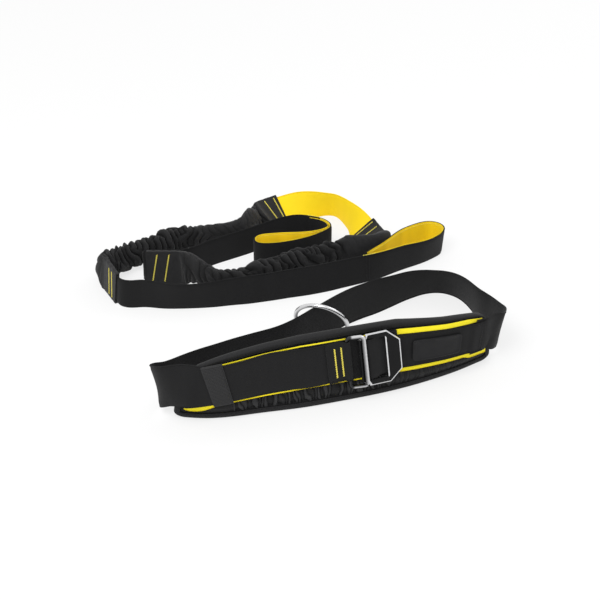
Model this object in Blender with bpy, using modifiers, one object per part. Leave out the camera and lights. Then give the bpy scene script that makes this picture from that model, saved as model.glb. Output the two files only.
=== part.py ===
"""Resistance sprint trainer, laid out on the floor as it is put down after use.

A padded waist belt closes with a hooked plate and a chrome frame, and a steel ring glides on its
long strap. The leash has two latex tubes in gathered sleeves, joined by a yellow webbing, and
each sleeve ends in a black webbing strap with a lined hand loop.
Metres, +Z up, the viewer looks along +Y.
"""

import math

import bmesh
import bpy
import numpy as np
from mathutils import Matrix

# Clearances between pieces that touch on the real set
FIT_GAP = 0.0003
SEWN_GAP = 0.0008
PAD_GAP = 0.0007
LAYER_GAP = 0.0005

# Waist pad
PAD_LENGTH = 0.385
PAD_HEIGHT = 0.090
FOAM_THICKNESS = 0.0094
FOAM_EDGE_THICKNESS = 0.0020
COVER_THICKNESS = 0.0010
PAD_CROWN_RAMP = 0.012
CROWN_START_MARGIN = 0.002
SEAT_RAMP = 0.009
BULGE_FADE = 0.030
PAD_BULGE = 0.0022
PAD_END_SLANT = 0.016
PAD_SLANT_POWER = 1.5
PAD_COLUMN_STEP = 0.021
PAD_LOWER_RADIUS = 0.014
PAD_UPPER_RADIUS = 0.017
BINDING_DEPTH = 0.0065
BINDING_WALL = 0.0010
BINDING_FLOOR_GAP = 0.0010
BINDING_SIDE_GAP = 0.0010
BINDING_CHAMFER = 0.0008

# Chrome frame that the plate hooks on to; the long strap and the plate are fitted to it
FRAME_HEIGHT = 0.066
FRAME_SIDE_WIDTH = 0.0043
FRAME_SIDE_THICKNESS = 0.0030
FRAME_OPENING = FRAME_HEIGHT - 2 * FRAME_SIDE_WIDTH
STRAP_SIDE_GAP = 0.0037
TONGUE_SIDE_GAP = 0.0005
WINDOW_SIDE_GAP = 0.0010
HOOK_BAR_U = -0.0016
STRAP_BAR_U = -0.0196
FRAME_HOOK_BAR_DIAMETER = 0.005
FRAME_STRAP_BAR_DIAMETER = 0.004
HOOK_SEAT_GAP = 0.0005
FLAP_LENGTH = 0.024
BUCKLE_ROLL = 5.0
ROLL_EASE_U = -0.045
ROLL_EASE_LENGTH = 0.060

# Webbings of the belt
WEBBING_THICKNESS = 0.0015
BACKING_WIDTH = 0.054
BACKING_EDGE_MARGIN = 0.0070
BACKING_END_MARGIN = 0.009
BACKING_SLANT_FADE = 0.048
RIGHT_WEBBING_WIDTH = 0.042
BELT_STRAP_WIDTH = FRAME_OPENING - 2 * STRAP_SIDE_GAP
STRAP_UNDERLAP = 0.014
UNDERLAP_STEP = 0.007
WEBBING_SLANT_FADE = 0.040

# Bare rubber patch on the right webbing
PATCH_LENGTH = 0.062
PATCH_HEIGHT = 0.027
PATCH_THICKNESS = 0.0015
PATCH_RIM_WIDTH = 0.0016
PATCH_RIM_HEIGHT = 0.0005

# Elastic keeper round the long strap
KEEPER_WIDTH = 0.024
KEEPER_APPROACH = 0.030
KEEPER_THICKNESS = 0.0012
KEEPER_SLACK = 0.0018
KEEPER_GAP = 0.0006
KEEPER_RIB_HEIGHT = 0.00015
KEEPER_RIB_COUNT = 5

# Middles of the first and second layer above the backing webbing
LAYER_ONE = FIT_GAP + WEBBING_THICKNESS / 2
LAYER_TWO = LAYER_ONE + WEBBING_THICKNESS + FIT_GAP

# Buckle plate with its hooked tongue and webbing bar; U is along the belt from the tongue's root
PLATE_THICKNESS = 0.0022
PLATE_HEIGHT = FRAME_HEIGHT
PLATE_BODY_START = 0.002
PLATE_BODY_LENGTH = 0.040
PLATE_CHAMFER = 0.012
TONGUE_LENGTH = 0.0087
TONGUE_HEIGHT = FRAME_OPENING - 2 * TONGUE_SIDE_GAP
HOOK_LENGTH = 0.0022
HOOK_RISE = 0.0025
WINDOW_HEIGHT = BELT_STRAP_WIDTH + 2 * WINDOW_SIDE_GAP
WINDOW_RIGHT_U = 0.025
TONGUE_BAR_WIDTH = 0.0052
PLATE_BAR_DIAMETER = 0.003
PLATE_BAR_U = 0.005
PLATE_STANDOFF = 0.0041
LOOP_TAIL_LENGTH = 0.034
LOOP_TAIL_GAP = 0.0016
BAR_WRAP_GAP = 0.0003

# Ring that glides on the long strap
RING_WIRE = 0.005
RING_INNER_DIAMETER = 0.058
RING_TURN = 74.0
RING_TILT = 24.0

# Leash webbings and hand loops
LEASH_SPREAD = 0.500
LEASH_WEBBING_WIDTH = 0.038
LINING_THICKNESS = 0.0012
LINING_STEM_SETBACK = 0.012

# Gathered sleeves
TAB_LENGTH = 0.042
TAB_HEIGHT = 0.044
TAB_THICKNESS = 0.0056
TAB_WEBBING_DEPTH = 0.025
SLEEVE_HEIGHT = 0.044
SLEEVE_THICKNESS = 0.026
SLEEVE_BEND_THICKNESS = 0.021
SLEEVE_PINCH_HEIGHT = 0.031
SLEEVE_WALL = 0.0030
NECK_LENGTH = 0.020
RUFFLE_PITCH = 0.0155
RUFFLE_DEPTH = 0.0034
RUFFLE_SLANT = 0.42
RUFFLE_START_TURN = 0.6
RUFFLE_DRIFT = 0.8
RUFFLE_DRIFT_RATE = 0.39
BORE_FOLD_SHARE = 0.2
SLEEVE_RING_STEP = 0.0046
BORE_RING_STEP = 0.026
BORE_RING_TURN = 18.0
TAB_ROUNDNESS = 0.22
TAB_ROW_COUNT = 12
SLEEVE_SIDES = 12

# Latex tubes and their moulded anchors
TUBE_DIAMETER = 0.0110
TUBE_BORE = 0.0052
TUBE_SIDES = 8
TUBE_RING_STEP = 0.018
TUBE_RING_TURN = 16.0
ANCHOR_TONGUE_WIDTH = 0.014
ANCHOR_TONGUE_THICKNESS = 0.0014
ANCHOR_TONGUE_LENGTH = 0.017
ANCHOR_SHANK_DIAMETER = 0.0030
ANCHOR_COLLAR_DIAMETER = 0.0090
ANCHOR_COLLAR_LENGTH = 0.002
ANCHOR_STEM_LENGTH = 0.014
ANCHOR_BARB_COUNT = 3
SHANK_RING_COUNT = 6
ANCHOR_END_GAP = 0.0006

# How finely routes are read and bands are divided
ROUTE_STEP = 0.001
BAND_STEP = 0.014
LEASH_BAND_STEP = 0.0085
TWIST_STEP = 0.0065
BAND_TURN = 14.0
WRAP_TURN = 22.5

# Middle line of the pad seen from above, as shares of the floor length that the belt is laid on
BELT_LINE_SHARES = [
    (-0.280, -0.480), (-0.206, -0.488), (-0.086, -0.468), (0.000, -0.450), (0.090, -0.424),
    (0.212, -0.382), (0.308, -0.336), (0.372, -0.298), (0.424, -0.262), (0.440, -0.252)]

# Along the pad: share of its length, and the lean back in degrees
BELT_LEAN = [
    (0.00, -6.0), (0.105, -4.0), (0.263, 2.0), (0.369, 5.0), (0.670, 5.0), (0.740, 1.0),
    (0.810, -3.5), (0.906, -7.0), (1.00, -8.0)]

# Along the pad: share of its length, and its top edge as a share of its height
PAD_TOP_SHARES = [
    (0.000, 0.62), (0.058, 0.767), (0.123, 0.889), (0.224, 0.956), (0.345, 0.989), (0.505, 1.0),
    (0.650, 0.978), (0.783, 0.911), (0.897, 0.844), (0.953, 0.76), (1.000, 0.66)]

# Along the pad: share of its length, and the webbings' middle as a share of the pad's height
WEBBING_MIDDLE_SHARES = [
    (0.000, 0.470), (0.036, 0.478), (0.089, 0.522), (0.158, 0.561), (0.263, 0.594),
    (0.369, 0.611), (0.560, 0.611), (0.699, 0.589), (0.815, 0.556), (0.906, 0.528),
    (0.975, 0.500)]

# Places along the pad, as shares of its length
BACKING_START_SHARE = 0.036
KEEPER_SHARE = 0.130
BUCKLE_SHARE = 0.558
PATCH_SHARE = 0.790
STRAP_START_SHARE = 0.900
STRAP_LEAVES_SHARE = 0.942

# The long strap off the pad, as shares of the belt's floor length: its lower edge from above, how
# high that edge stands, and the lean in degrees towards the inside of the belt
LONG_STRAP_SHARES = [
    (0.434, -0.284, 0.040, -7), (0.448, -0.272, 0.032, -8), (0.458, -0.250, 0.024, -9),
    (0.461, -0.224, 0.016, -8), (0.457, -0.190, 0.008, -6), (0.449, -0.150, 0.002, -3),
    (0.438, -0.104, 0.000, 5), (0.426, -0.056, 0.000, 12), (0.410, -0.014, 0.000, 19),
    (0.386, 0.018, 0.000, 24), (0.356, 0.033, 0.000, 25), (0.322, 0.031, 0.000, 24),
    (0.290, 0.016, 0.000, 19), (0.258, -0.006, 0.000, 12), (0.226, -0.032, 0.000, 7),
    (0.196, -0.058, 0.001, 2), (0.166, -0.084, 0.005, 0), (0.132, -0.113, 0.009, 0),
    (0.104, -0.140, 0.012, 0), (0.076, -0.168, 0.0125, 0), (0.048, -0.197, 0.0125, 0),
    (0.020, -0.226, 0.0125, 0), (-0.006, -0.252, 0.011, 0), (-0.036, -0.272, 0.006, 0),
    (-0.072, -0.288, 0.002, 0), (-0.116, -0.306, 0.000, 0), (-0.196, -0.350, 0.000, 0),
    (-0.256, -0.386, 0.000, 0), (-0.298, -0.430, 0.010, 0), (-0.313, -0.458, 0.018, -7),
    (-0.307, -0.482, 0.024, -4), (-0.284, -0.500, 0.032, -2), (-0.256, -0.507, 0.038, -4)]
RING_PLACE_SHARES = (0.0525, -0.196)

# Leash webbings, as shares of the floor width that the leash is laid on: lower edge from above,
# how far it is lifted in a tab (1) or lies on the floor (0), and the lean in degrees to the left
LEFT_STRAP_SHARES = [
    (-0.488, 0.058, 1, 18), (-0.466, 0.018, 1, 18), (-0.450, -0.016, 1, 16),
    (-0.439, -0.030, 0.6, 12), (-0.416, -0.035, 0, 9), (-0.392, -0.034, 0, 8),
    (-0.338, -0.040, 0, 0), (-0.282, -0.040, 0, -6), (-0.228, -0.036, 0, -2),
    (-0.174, -0.026, 0, 4), (-0.120, -0.016, 0, 8), (-0.066, -0.002, 0, 10),
    (-0.012, 0.014, 0, 12), (0.042, 0.030, 0, 13), (0.096, 0.052, 0, 12), (0.152, 0.078, 0, 8),
    (0.208, 0.108, 0, 1), (0.262, 0.146, 0, -4), (0.318, 0.182, 0, -11),
    (0.354, 0.212, 0, -10), (0.372, 0.238, 0, -4), (0.365, 0.262, 0, 0), (0.338, 0.271, 0, 0),
    (0.306, 0.259, 0, 0), (0.262, 0.225, 0, 0), (0.232, 0.187, 0, 0), (0.208, 0.155, 0, 0),
    (0.182, 0.125, 0, 0), (0.164, 0.102, 0, 0)]
LEFT_LOOP_STEM_SHARES = (0.164, 0.085)

RIGHT_STRAP_SHARES = [
    (-0.304, 0.084, 1, -10), (-0.344, 0.084, 1, -10), (-0.378, 0.084, 1, -10),
    (-0.393, 0.090, 0.8, -6), (-0.398, 0.101, 0.5, 0), (-0.391, 0.112, 0.2, 2),
    (-0.372, 0.117, 0, 3), (-0.336, 0.117, 0, 3), (-0.294, 0.120, 0, 3), (-0.264, 0.138, 0, 3),
    (-0.234, 0.164, 0, 3), (-0.198, 0.190, 0, 2), (-0.160, 0.214, 0, 2), (-0.122, 0.240, 0, 2),
    (-0.080, 0.270, 0, 2), (-0.040, 0.294, 0, 2), (-0.006, 0.305, 0, 1), (0.022, 0.302, 0, 0),
    (0.050, 0.292, 0, 0), (0.072, 0.274, 0, 0), (0.082, 0.248, 0, 0), (0.064, 0.220, 0, 0),
    (0.026, 0.190, 0, 0), (-0.020, 0.168, 0, 0), (-0.082, 0.154, 0, 0), (-0.112, 0.161, 0, 0),
    (-0.119, 0.180, 0, 0), (-0.108, 0.198, 0, 0), (-0.084, 0.207, 0, 0), (-0.020, 0.214, 0, 0),
    (0.026, 0.220, 0, 0), (0.054, 0.231, 0, 0), (0.070, 0.248, 0, 0), (0.063, 0.266, 0, 0),
    (0.044, 0.281, 0, 0), (0.022, 0.288, 0, 0)]
RIGHT_LOOP_STEM_SHARES = (0.022, 0.302)

CONNECTOR_SHARES = [
    (-0.094, 0.352, 1, 57), (-0.024, 0.404, 1, 55), (0.010, 0.416, 0.3, 32),
    (0.050, 0.432, 0, 4), (0.070, 0.439, 0, -6), (0.090, 0.438, 0, -8), (0.106, 0.422, 0, -4),
    (0.122, 0.384, 0, 8), (0.131, 0.342, 0.4, 27), (0.135, 0.302, 1, 51), (0.168, 0.212, 1, 51)]

# Middle lines of the sleeves between their tabs, from above, with the lean in degrees to the left
LEFT_SLEEVE_SHARES = [
    (-0.130, 0.342, -30), (-0.143, 0.313, -14), (-0.160, 0.293, -4), (-0.184, 0.279, 0),
    (-0.212, 0.268, 0), (-0.240, 0.259, 0), (-0.276, 0.244, 0), (-0.314, 0.228, 0),
    (-0.352, 0.207, 0), (-0.389, 0.181, 0), (-0.425, 0.150, 1), (-0.457, 0.121, 5),
    (-0.479, 0.091, 12)]
RIGHT_SLEEVE_SHARES = [
    (0.200, 0.198, 34), (0.189, 0.184, 16), (0.170, 0.176, 4), (0.136, 0.171, 0),
    (0.100, 0.162, 0), (0.062, 0.144, 0), (0.028, 0.126, 0), (-0.018, 0.106, 0),
    (-0.050, 0.088, 0), (-0.084, 0.070, 0), (-0.120, 0.051, 0), (-0.174, 0.030, 0),
    (-0.214, 0.036, 0), (-0.248, 0.062, -4), (-0.276, 0.082, -8)]
# Where the right sleeve's smooth bend ends and where it is pinched, as shares of its length
SMOOTH_BEND_SHARES = (0.11, 0.32)
PINCH_SHARES = (0.74, 0.06)

ANCHOR_BARB_SHARE = 0.86
ANCHOR_STEM_SHARE = 0.66

COLOURS = {
    "black_webbing": ((0.018, 0.018, 0.019, 1.0), 0.78, 0.0),
    "black_cloth": ((0.014, 0.014, 0.015, 1.0), 0.88, 0.0),
    "yellow_webbing": ((0.930, 0.690, 0.010, 1.0), 0.70, 0.0),
    "foam": ((0.060, 0.060, 0.062, 1.0), 0.95, 0.0),
    "chrome": ((0.780, 0.780, 0.790, 1.0), 0.16, 1.0),
    "black_steel": ((0.012, 0.012, 0.013, 1.0), 0.40, 0.0),
    "black_rubber": ((0.012, 0.012, 0.012, 1.0), 0.42, 0.0),
    "latex": ((0.030, 0.028, 0.026, 1.0), 0.50, 0.0),
    "nylon": ((0.040, 0.040, 0.042, 1.0), 0.55, 0.0),
    "elastic": ((0.020, 0.020, 0.021, 1.0), 0.84, 0.0),
}
OBJECT_NAME = "resistance_sprint_trainer"
SHARP_ANGLE = 35.0
UP = np.array([0.0, 0.0, 1.0])


# Scene and materials

def clear_scene():
    for item in list(bpy.data.objects):
        bpy.data.objects.remove(item, do_unlink=True)


def new_collection(name):
    collection = bpy.data.collections.new(name)
    bpy.context.scene.collection.children.link(collection)
    return collection


def material(name):
    found = bpy.data.materials.get(name)
    if found:
        return found
    colour, roughness, metallic = COLOURS[name]
    made = bpy.data.materials.new(name)
    made.use_nodes = True
    shader = made.node_tree.nodes["Principled BSDF"]
    shader.inputs["Base Color"].default_value = colour
    shader.inputs["Roughness"].default_value = roughness
    shader.inputs["Metallic"].default_value = metallic
    made.diffuse_color = colour
    return made


def link_part(obj, material_name, matrix=None):
    """Put an object in the set: its material, its smooth shading, its place and its parent."""
    obj.data.materials.clear()
    obj.data.materials.append(material(material_name))
    obj.data.shade_smooth()
    obj.data.set_sharp_from_angle(angle=math.radians(SHARP_ANGLE))
    if obj.name not in parts.objects:
        parts.objects.link(obj)
    for other in list(obj.users_collection):
        if other != parts:
            other.objects.unlink(obj)
    obj.parent = root
    if matrix is not None:
        obj.matrix_local = matrix
    return obj


def mesh_object(name, vertices, faces, material_name, matrix=None):
    mesh = bpy.data.meshes.new(name)
    mesh.from_pydata([tuple(v) for v in vertices], [], faces)
    mesh.validate()
    return link_part(bpy.data.objects.new(name, mesh), material_name, matrix)


def solidify(obj, thickness):
    shell = obj.modifiers.new("thickness", "SOLIDIFY")
    shell.thickness = thickness
    shell.offset = 0.0
    shell.use_even_offset = True
    return obj


# Curves and routes

def natural_spline(knots, rows, places):
    """Rows at the given places on the natural cubic spline through the rows at the knots."""
    knots = np.asarray(knots, float)
    rows = np.asarray(rows, float)
    gaps = np.diff(knots)
    count = len(knots)
    system = np.eye(count)
    right = np.zeros_like(rows)
    for k in range(1, count - 1):
        system[k, k - 1:k + 2] = gaps[k - 1], 2 * (gaps[k - 1] + gaps[k]), gaps[k]
        right[k] = 6 * ((rows[k + 1] - rows[k]) / gaps[k] - (rows[k] - rows[k - 1]) / gaps[k - 1])
    bend = np.linalg.solve(system, right)
    places = np.asarray(places, float)
    cell = np.clip(np.searchsorted(knots, places) - 1, 0, count - 2)
    shape = (-1,) + (1,) * (rows.ndim - 1)
    gap = gaps[cell].reshape(shape)
    before = (places - knots[cell]).reshape(shape)
    after = gap - before
    return ((bend[cell] * after ** 3 + bend[cell + 1] * before ** 3) / (6 * gap)
            + (rows[cell] / gap - bend[cell] * gap / 6) * after
            + (rows[cell + 1] / gap - bend[cell + 1] * gap / 6) * before)


def unit(vectors):
    return vectors / np.linalg.norm(vectors, axis=-1, keepdims=True)


def chord_lengths(points):
    return np.concatenate([[0.0], np.cumsum(np.linalg.norm(np.diff(points, axis=0), axis=1))])


def smoothstep(value):
    value = np.clip(value, 0.0, 1.0)
    return value * value * (3 - 2 * value)


class Route:
    """A line in space that a band or sleeve follows: points, and an up vector across the band."""

    def __init__(self, points, ups):
        self.points = np.asarray(points, float)
        self.arc = chord_lengths(self.points)
        ahead = np.vstack([self.points[1:], self.points[-1:]])
        behind = np.vstack([self.points[:1], self.points[:-1]])
        self.along = unit(ahead - behind)
        ups = np.asarray(ups, float)
        self.ups = unit(ups - np.sum(ups * self.along, axis=1)[:, None] * self.along)
        self.sides = np.cross(self.along, self.ups)

    @property
    def length(self):
        return self.arc[-1]

    def read(self, places):
        """Point, up and right-hand side vectors at the given lengths along the route."""
        def column(values):
            return np.stack([np.interp(places, self.arc, values[:, k]) for k in range(3)], -1)
        return column(self.points), unit(column(self.ups)), unit(column(self.sides))

    def part(self, start, end):
        places = np.linspace(start, end, max(2, round(abs(end - start) / ROUTE_STEP)))
        points, ups, _ = self.read(places)
        return Route(points, ups)

    def offset(self, distance):
        """The same route moved to its right-hand side."""
        return Route(self.points + self.sides * distance, self.ups)

    def nearest(self, spot):
        """Length along the route at its first closest approach to a spot seen from above."""
        away = np.linalg.norm(self.points[:, :2] - spot, axis=1)
        return self.arc[int(np.argmin(away))]

    def stops(self, step=BAND_STEP, turn=BAND_TURN):
        """Few lengths along the route, close together only where it turns or twists."""
        limit = math.cos(math.radians(turn))
        kept = [0]
        for k in range(1, len(self.arc) - 1):
            last = kept[-1]
            straight = min(self.along[k + 1] @ self.along[last], self.ups[k + 1] @ self.ups[last])
            if straight < limit or self.arc[k + 1] - self.arc[last] > step:
                kept.append(k)
        return self.arc[kept + [len(self.arc) - 1]]


def splined(rows):
    """A route through rows of point and up vector."""
    rows = np.asarray(rows, float)
    knots = chord_lengths(rows[:, :3])
    places = np.linspace(0.0, knots[-1], round(knots[-1] / ROUTE_STEP))
    fine = natural_spline(knots, rows, places)
    return Route(fine[:, :3], fine[:, 3:])


def leaning(lower, lean_degrees):
    """Up vectors of a band whose lower edge and lean to the left of its travel are known."""
    flat = np.array(lower, float)
    flat[:, 2] = 0.0
    knots = chord_lengths(flat)
    nudge = ROUTE_STEP * np.ones(len(knots))
    ahead = natural_spline(knots, flat, np.minimum(knots + nudge, knots[-1]))
    behind = natural_spline(knots, flat, np.maximum(knots - nudge, 0.0))
    along = unit(ahead - behind)
    left = np.stack([-along[:, 1], along[:, 0], 0 * along[:, 0]], -1)
    lean = np.radians(np.asarray(lean_degrees, float))[:, None]
    return np.cos(lean) * UP + np.sin(lean) * left


def band_rows(lower, lean_degrees, width):
    """Rows of middle point and up vector of a band from its lower edge."""
    ups = leaning(lower, lean_degrees)
    return np.hstack([np.asarray(lower, float) + ups * width / 2, ups])


def band(name, route, width, thickness, material_name, step=BAND_STEP, turn=BAND_TURN):
    """A flat webbing: a strip two points wide along the route, given its thickness."""
    points, ups, _ = route.read(route.stops(step, turn))
    half = ups * width / 2
    vertices = np.stack([points - half, points + half], 1).reshape(-1, 3)
    faces = [(2 * k, 2 * k + 2, 2 * k + 3, 2 * k + 1) for k in range(len(points) - 1)]
    return solidify(mesh_object(name, vertices, faces, material_name), thickness)


# Surfaces made of rows and rings

def grid_faces(rows, columns, start=0, flip=False):
    faces = []
    for r in range(rows - 1):
        for c in range(columns - 1):
            first = start + r * columns + c
            for face in ((first, first + 1, first + columns + 1),
                         (first, first + columns + 1, first + columns)):
                faces.append(face[::-1] if flip else face)
    return faces


def pillow(name, front, back, material_name):
    """A closed body between two grids of the same size, joined round their rims."""
    rows, columns = front.shape[:2]
    count = rows * columns
    faces = grid_faces(rows, columns) + grid_faces(rows, columns, count, flip=True)
    rim = [c for c in range(columns)]
    rim += [r * columns + columns - 1 for r in range(1, rows)]
    rim += [(rows - 1) * columns + c for c in range(columns - 2, -1, -1)]
    rim += [r * columns for r in range(rows - 2, 0, -1)]
    for k, here in enumerate(rim):
        there = rim[(k + 1) % len(rim)]
        faces.append((there, here, here + count, there + count))
    vertices = np.vstack([front.reshape(-1, 3), back.reshape(-1, 3)])
    return mesh_object(name, vertices, faces, material_name)


def ring_faces(rings, sides, start=0):
    faces = []
    for r in range(rings - 1):
        for c in range(sides):
            after = (c + 1) % sides
            here = start + r * sides
            faces.append((here + c, here + sides + c, here + sides + after, here + after))
    return faces


def loft(name, rings, material_name):
    """A solid through rings of the same count, with flat ends."""
    rings = np.asarray(rings)
    count, sides = rings.shape[:2]
    faces = ring_faces(count, sides)
    faces.append(tuple(range(sides)))
    faces.append(tuple((count - 1) * sides + c for c in range(sides - 1, -1, -1)))
    return mesh_object(name, rings.reshape(-1, 3), faces, material_name)


def hollow_loft(name, outer, inner, material_name):
    """A tube through outer rings, back through inner rings, open at both ends."""
    sides = outer.shape[1]
    rings = np.concatenate([outer, inner[::-1], outer[:1]])
    count = len(rings) - 1
    faces = ring_faces(count, sides)
    last = (count - 1) * sides
    for c in range(sides):
        after = (c + 1) % sides
        faces.append((last + c, c, after, last + after))
    return mesh_object(name, rings[:-1].reshape(-1, 3), faces, material_name)


def rings_along(route, places, half_heights, half_widths, sides, roundness=1.0):
    """Rings round a route, oval at a roundness of 1 and nearly rectangular at a quarter."""
    points, ups, side_vectors = route.read(places)
    turn = 2 * math.pi * np.arange(sides) / sides
    sine, cosine = np.sin(turn), np.cos(turn)
    high = np.asarray(half_heights) * np.sign(sine) * np.abs(sine) ** roundness
    wide = np.asarray(half_widths) * np.sign(cosine) * np.abs(cosine) ** roundness
    return points[:, None] + high[..., None] * ups[:, None] + wide[..., None] * side_vectors[:, None]


# Rigid shapes

def outline_solid(name, loops, thickness):
    """A flat plate from closed outlines, the first outside and the others as holes."""
    curve = bpy.data.curves.new(name, "CURVE")
    curve.dimensions = "2D"
    curve.fill_mode = "BOTH"
    curve.extrude = thickness / 2
    for loop in loops:
        spline = curve.splines.new("POLY")
        spline.points.add(len(loop) - 1)
        for point, (x, y) in zip(spline.points, loop):
            point.co = (x, y, 0.0, 1.0)
        spline.use_cyclic_u = True
    drawn = bpy.data.objects.new(name, curve)
    parts.objects.link(drawn)
    bpy.context.view_layer.update()
    evaluated = drawn.evaluated_get(bpy.context.evaluated_depsgraph_get())
    mesh = bpy.data.meshes.new_from_object(evaluated)
    bpy.data.objects.remove(drawn, do_unlink=True)
    bpy.data.curves.remove(curve)
    welded = bmesh.new()
    welded.from_mesh(mesh)
    bmesh.ops.remove_doubles(welded, verts=welded.verts, dist=FIT_GAP / 100)
    welded.to_mesh(mesh)
    welded.free()
    return mesh


def bar_mesh(diameter, length, segments=12):
    """A round bar along Y, centred."""
    mesh = bpy.data.meshes.new("bar")
    shape = bmesh.new()
    turned = Matrix.Rotation(math.radians(90.0), 4, "X")
    bmesh.ops.create_cone(shape, cap_ends=True, segments=segments, radius1=diameter / 2,
                          radius2=diameter / 2, depth=length, matrix=turned)
    shape.to_mesh(mesh)
    shape.free()
    return mesh


def box_mesh(size):
    mesh = bpy.data.meshes.new("box")
    shape = bmesh.new()
    bmesh.ops.create_cube(shape, size=1.0, matrix=Matrix.Diagonal((*size, 1.0)))
    shape.to_mesh(mesh)
    shape.free()
    return mesh


def joined(name, base, additions):
    """The base mesh united with other meshes, each with its place, by exact Booleans."""
    body = bpy.data.objects.new(name, base)
    cutters.objects.link(body)
    helpers = []
    for k, (mesh, place) in enumerate(additions):
        helper = bpy.data.objects.new(name + "_add_" + str(k), mesh)
        helper.matrix_world = place
        helper.hide_render = True
        helper.display_type = "WIRE"
        cutters.objects.link(helper)
        helpers.append(helper)
        union = body.modifiers.new("union", "BOOLEAN")
        union.operation = "UNION"
        union.solver = "EXACT"
        union.object = helper
    bpy.context.view_layer.update()
    evaluated = body.evaluated_get(bpy.context.evaluated_depsgraph_get())
    mesh = bpy.data.meshes.new_from_object(evaluated)
    for item in [body] + helpers:
        bpy.data.objects.remove(item, do_unlink=True)
    return mesh


def place(origin, x_axis, y_axis):
    """A matrix from an origin and two axes at right angles."""
    z_axis = np.cross(x_axis, y_axis)
    rows = np.eye(4)
    rows[:3, 0], rows[:3, 1], rows[:3, 2], rows[:3, 3] = x_axis, y_axis, z_axis, origin
    return Matrix(rows.tolist())


# The belt's own coordinates: s along the pad, w outward from its middle surface, z up

def eased_table(rows, share):
    rows = np.asarray(rows, float)
    flat = np.clip(np.ravel(share), 0.0, 1.0)
    return natural_spline(rows[:, 0], rows[:, 1], flat).reshape(np.shape(share))


def belt_line():
    """The pad's middle line from above, read finely, and the belt's floor length."""
    rows = np.array(BELT_LINE_SHARES)
    knots = chord_lengths(rows)
    places = np.linspace(0.0, knots[-1], round(PAD_LENGTH / ROUTE_STEP))
    fine = natural_spline(knots, rows, places)
    span = PAD_LENGTH / chord_lengths(fine)[-1]
    points = np.hstack([fine * span, np.zeros((len(fine), 1))])
    return Route(points, np.tile(UP, (len(fine), 1))), span


def belt_lean(s):
    rows = np.array(BELT_LEAN)
    return np.tan(np.radians(np.interp(np.asarray(s) / PAD_LENGTH, rows[:, 0], rows[:, 1])))


def on_belt(s, w, z):
    """World points from belt coordinates."""
    s, w, z = np.broadcast_arrays(np.asarray(s, float), w, z)
    flat = s.ravel()
    base, _, outward = BELT.read(flat)
    over = flat - np.clip(flat, 0.0, BELT.length)
    base = base + over[:, None] * np.cross(UP, outward)
    out = base + outward * (w.ravel() - z.ravel() * belt_lean(flat))[:, None]
    out[:, 2] = z.ravel()
    return out.reshape(s.shape + (3,))


def belt_up(s):
    """The belt's up direction at each s, which leans with it."""
    return unit(on_belt(s, 0.0, PAD_HEIGHT) - on_belt(s, 0.0, 0.0))


def pad_top(s):
    return PAD_HEIGHT * eased_table(PAD_TOP_SHARES, np.asarray(s) / PAD_LENGTH)


def webbing_middle(s):
    return PAD_HEIGHT * eased_table(WEBBING_MIDDLE_SHARES, np.asarray(s) / PAD_LENGTH)


def binding_half():
    return FOAM_EDGE_THICKNESS / 2 + PAD_GAP + COVER_THICKNESS + BINDING_SIDE_GAP + BINDING_WALL


def pad_front():
    return FOAM_THICKNESS / 2 + PAD_GAP + COVER_THICKNESS


def pad_face(s):
    """The pad's outer face below the webbings, which falls to the binding at both ends."""
    near = np.minimum(np.asarray(s), PAD_LENGTH - np.asarray(s))
    rise = smoothstep((near - SEAT_RAMP) / SEAT_RAMP)
    return binding_half() + PAD_GAP + (pad_front() - binding_half()) * rise


def layer(s, number):
    """Middle of the first, second or third webbing layer on the pad."""
    return pad_face(s) + LAYER_GAP + WEBBING_THICKNESS / 2 + number * (WEBBING_THICKNESS + LAYER_GAP)


# Pad

def pad_outline():
    """The pad's outline in belt coordinates, once round, and its inward directions."""
    bend = np.radians(np.linspace(0.0, 90.0, 5))
    along = round(PAD_LENGTH / BAND_STEP)
    low, high = PAD_LOWER_RADIUS, PAD_UPPER_RADIUS

    def slant(height):
        return PAD_END_SLANT * (height / PAD_HEIGHT) ** PAD_SLANT_POWER
    bottom = [(s, 0.0) for s in np.linspace(low, PAD_LENGTH - low, along)]
    lower_corner = [(low * (1 - math.sin(a)) + slant(low * (1 - math.cos(a))),
                     low * (1 - math.cos(a))) for a in bend[1:]]
    side = [(slant(h), h) for h in np.linspace(low, PAD_HEIGHT - high, 4)[1:-1]]
    upper_corner = [(high * (1 - math.sin(a)) + slant(PAD_HEIGHT - high * (1 - math.cos(a))),
                     PAD_HEIGHT - high * (1 - math.cos(a))) for a in bend[::-1]]
    end = lower_corner + side + upper_corner
    start = end[-1][0]
    top = [(s, PAD_HEIGHT) for s in np.linspace(PAD_LENGTH - start, start, along)[1:-1]]
    right_end = [(PAD_LENGTH - s, h) for s, h in end]
    outline = np.array(bottom + right_end + top + end[::-1])
    outline[:, 1] *= pad_top(outline[:, 0]) / PAD_HEIGHT
    steps = unit(np.roll(outline, -1, axis=0) - np.roll(outline, 1, axis=0))
    return outline, np.stack([-steps[:, 1], steps[:, 0]], -1), len(bottom), len(end)


def outline_distance(s, z):
    """Shortest distance from points to the pad's outline."""
    outline = pad_outline()[0]
    ahead = np.roll(outline, -1, axis=0) - outline
    spots = np.stack([s.ravel(), z.ravel()], -1)[:, None] - outline
    share = np.sum(spots * ahead, axis=2) / np.sum(ahead * ahead, axis=1)
    nearest = spots - np.clip(share, 0.0, 1.0)[..., None] * ahead
    return np.linalg.norm(nearest, axis=2).min(axis=1).reshape(s.shape)


def edge_steps():
    """Distances from the outline at which the pad's grid has a row or column."""
    crown_start = BINDING_DEPTH + CROWN_START_MARGIN
    return np.array([BINDING_WALL + BINDING_FLOOR_GAP, crown_start,
                     crown_start + PAD_CROWN_RAMP / 2, crown_start + PAD_CROWN_RAMP])


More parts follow.
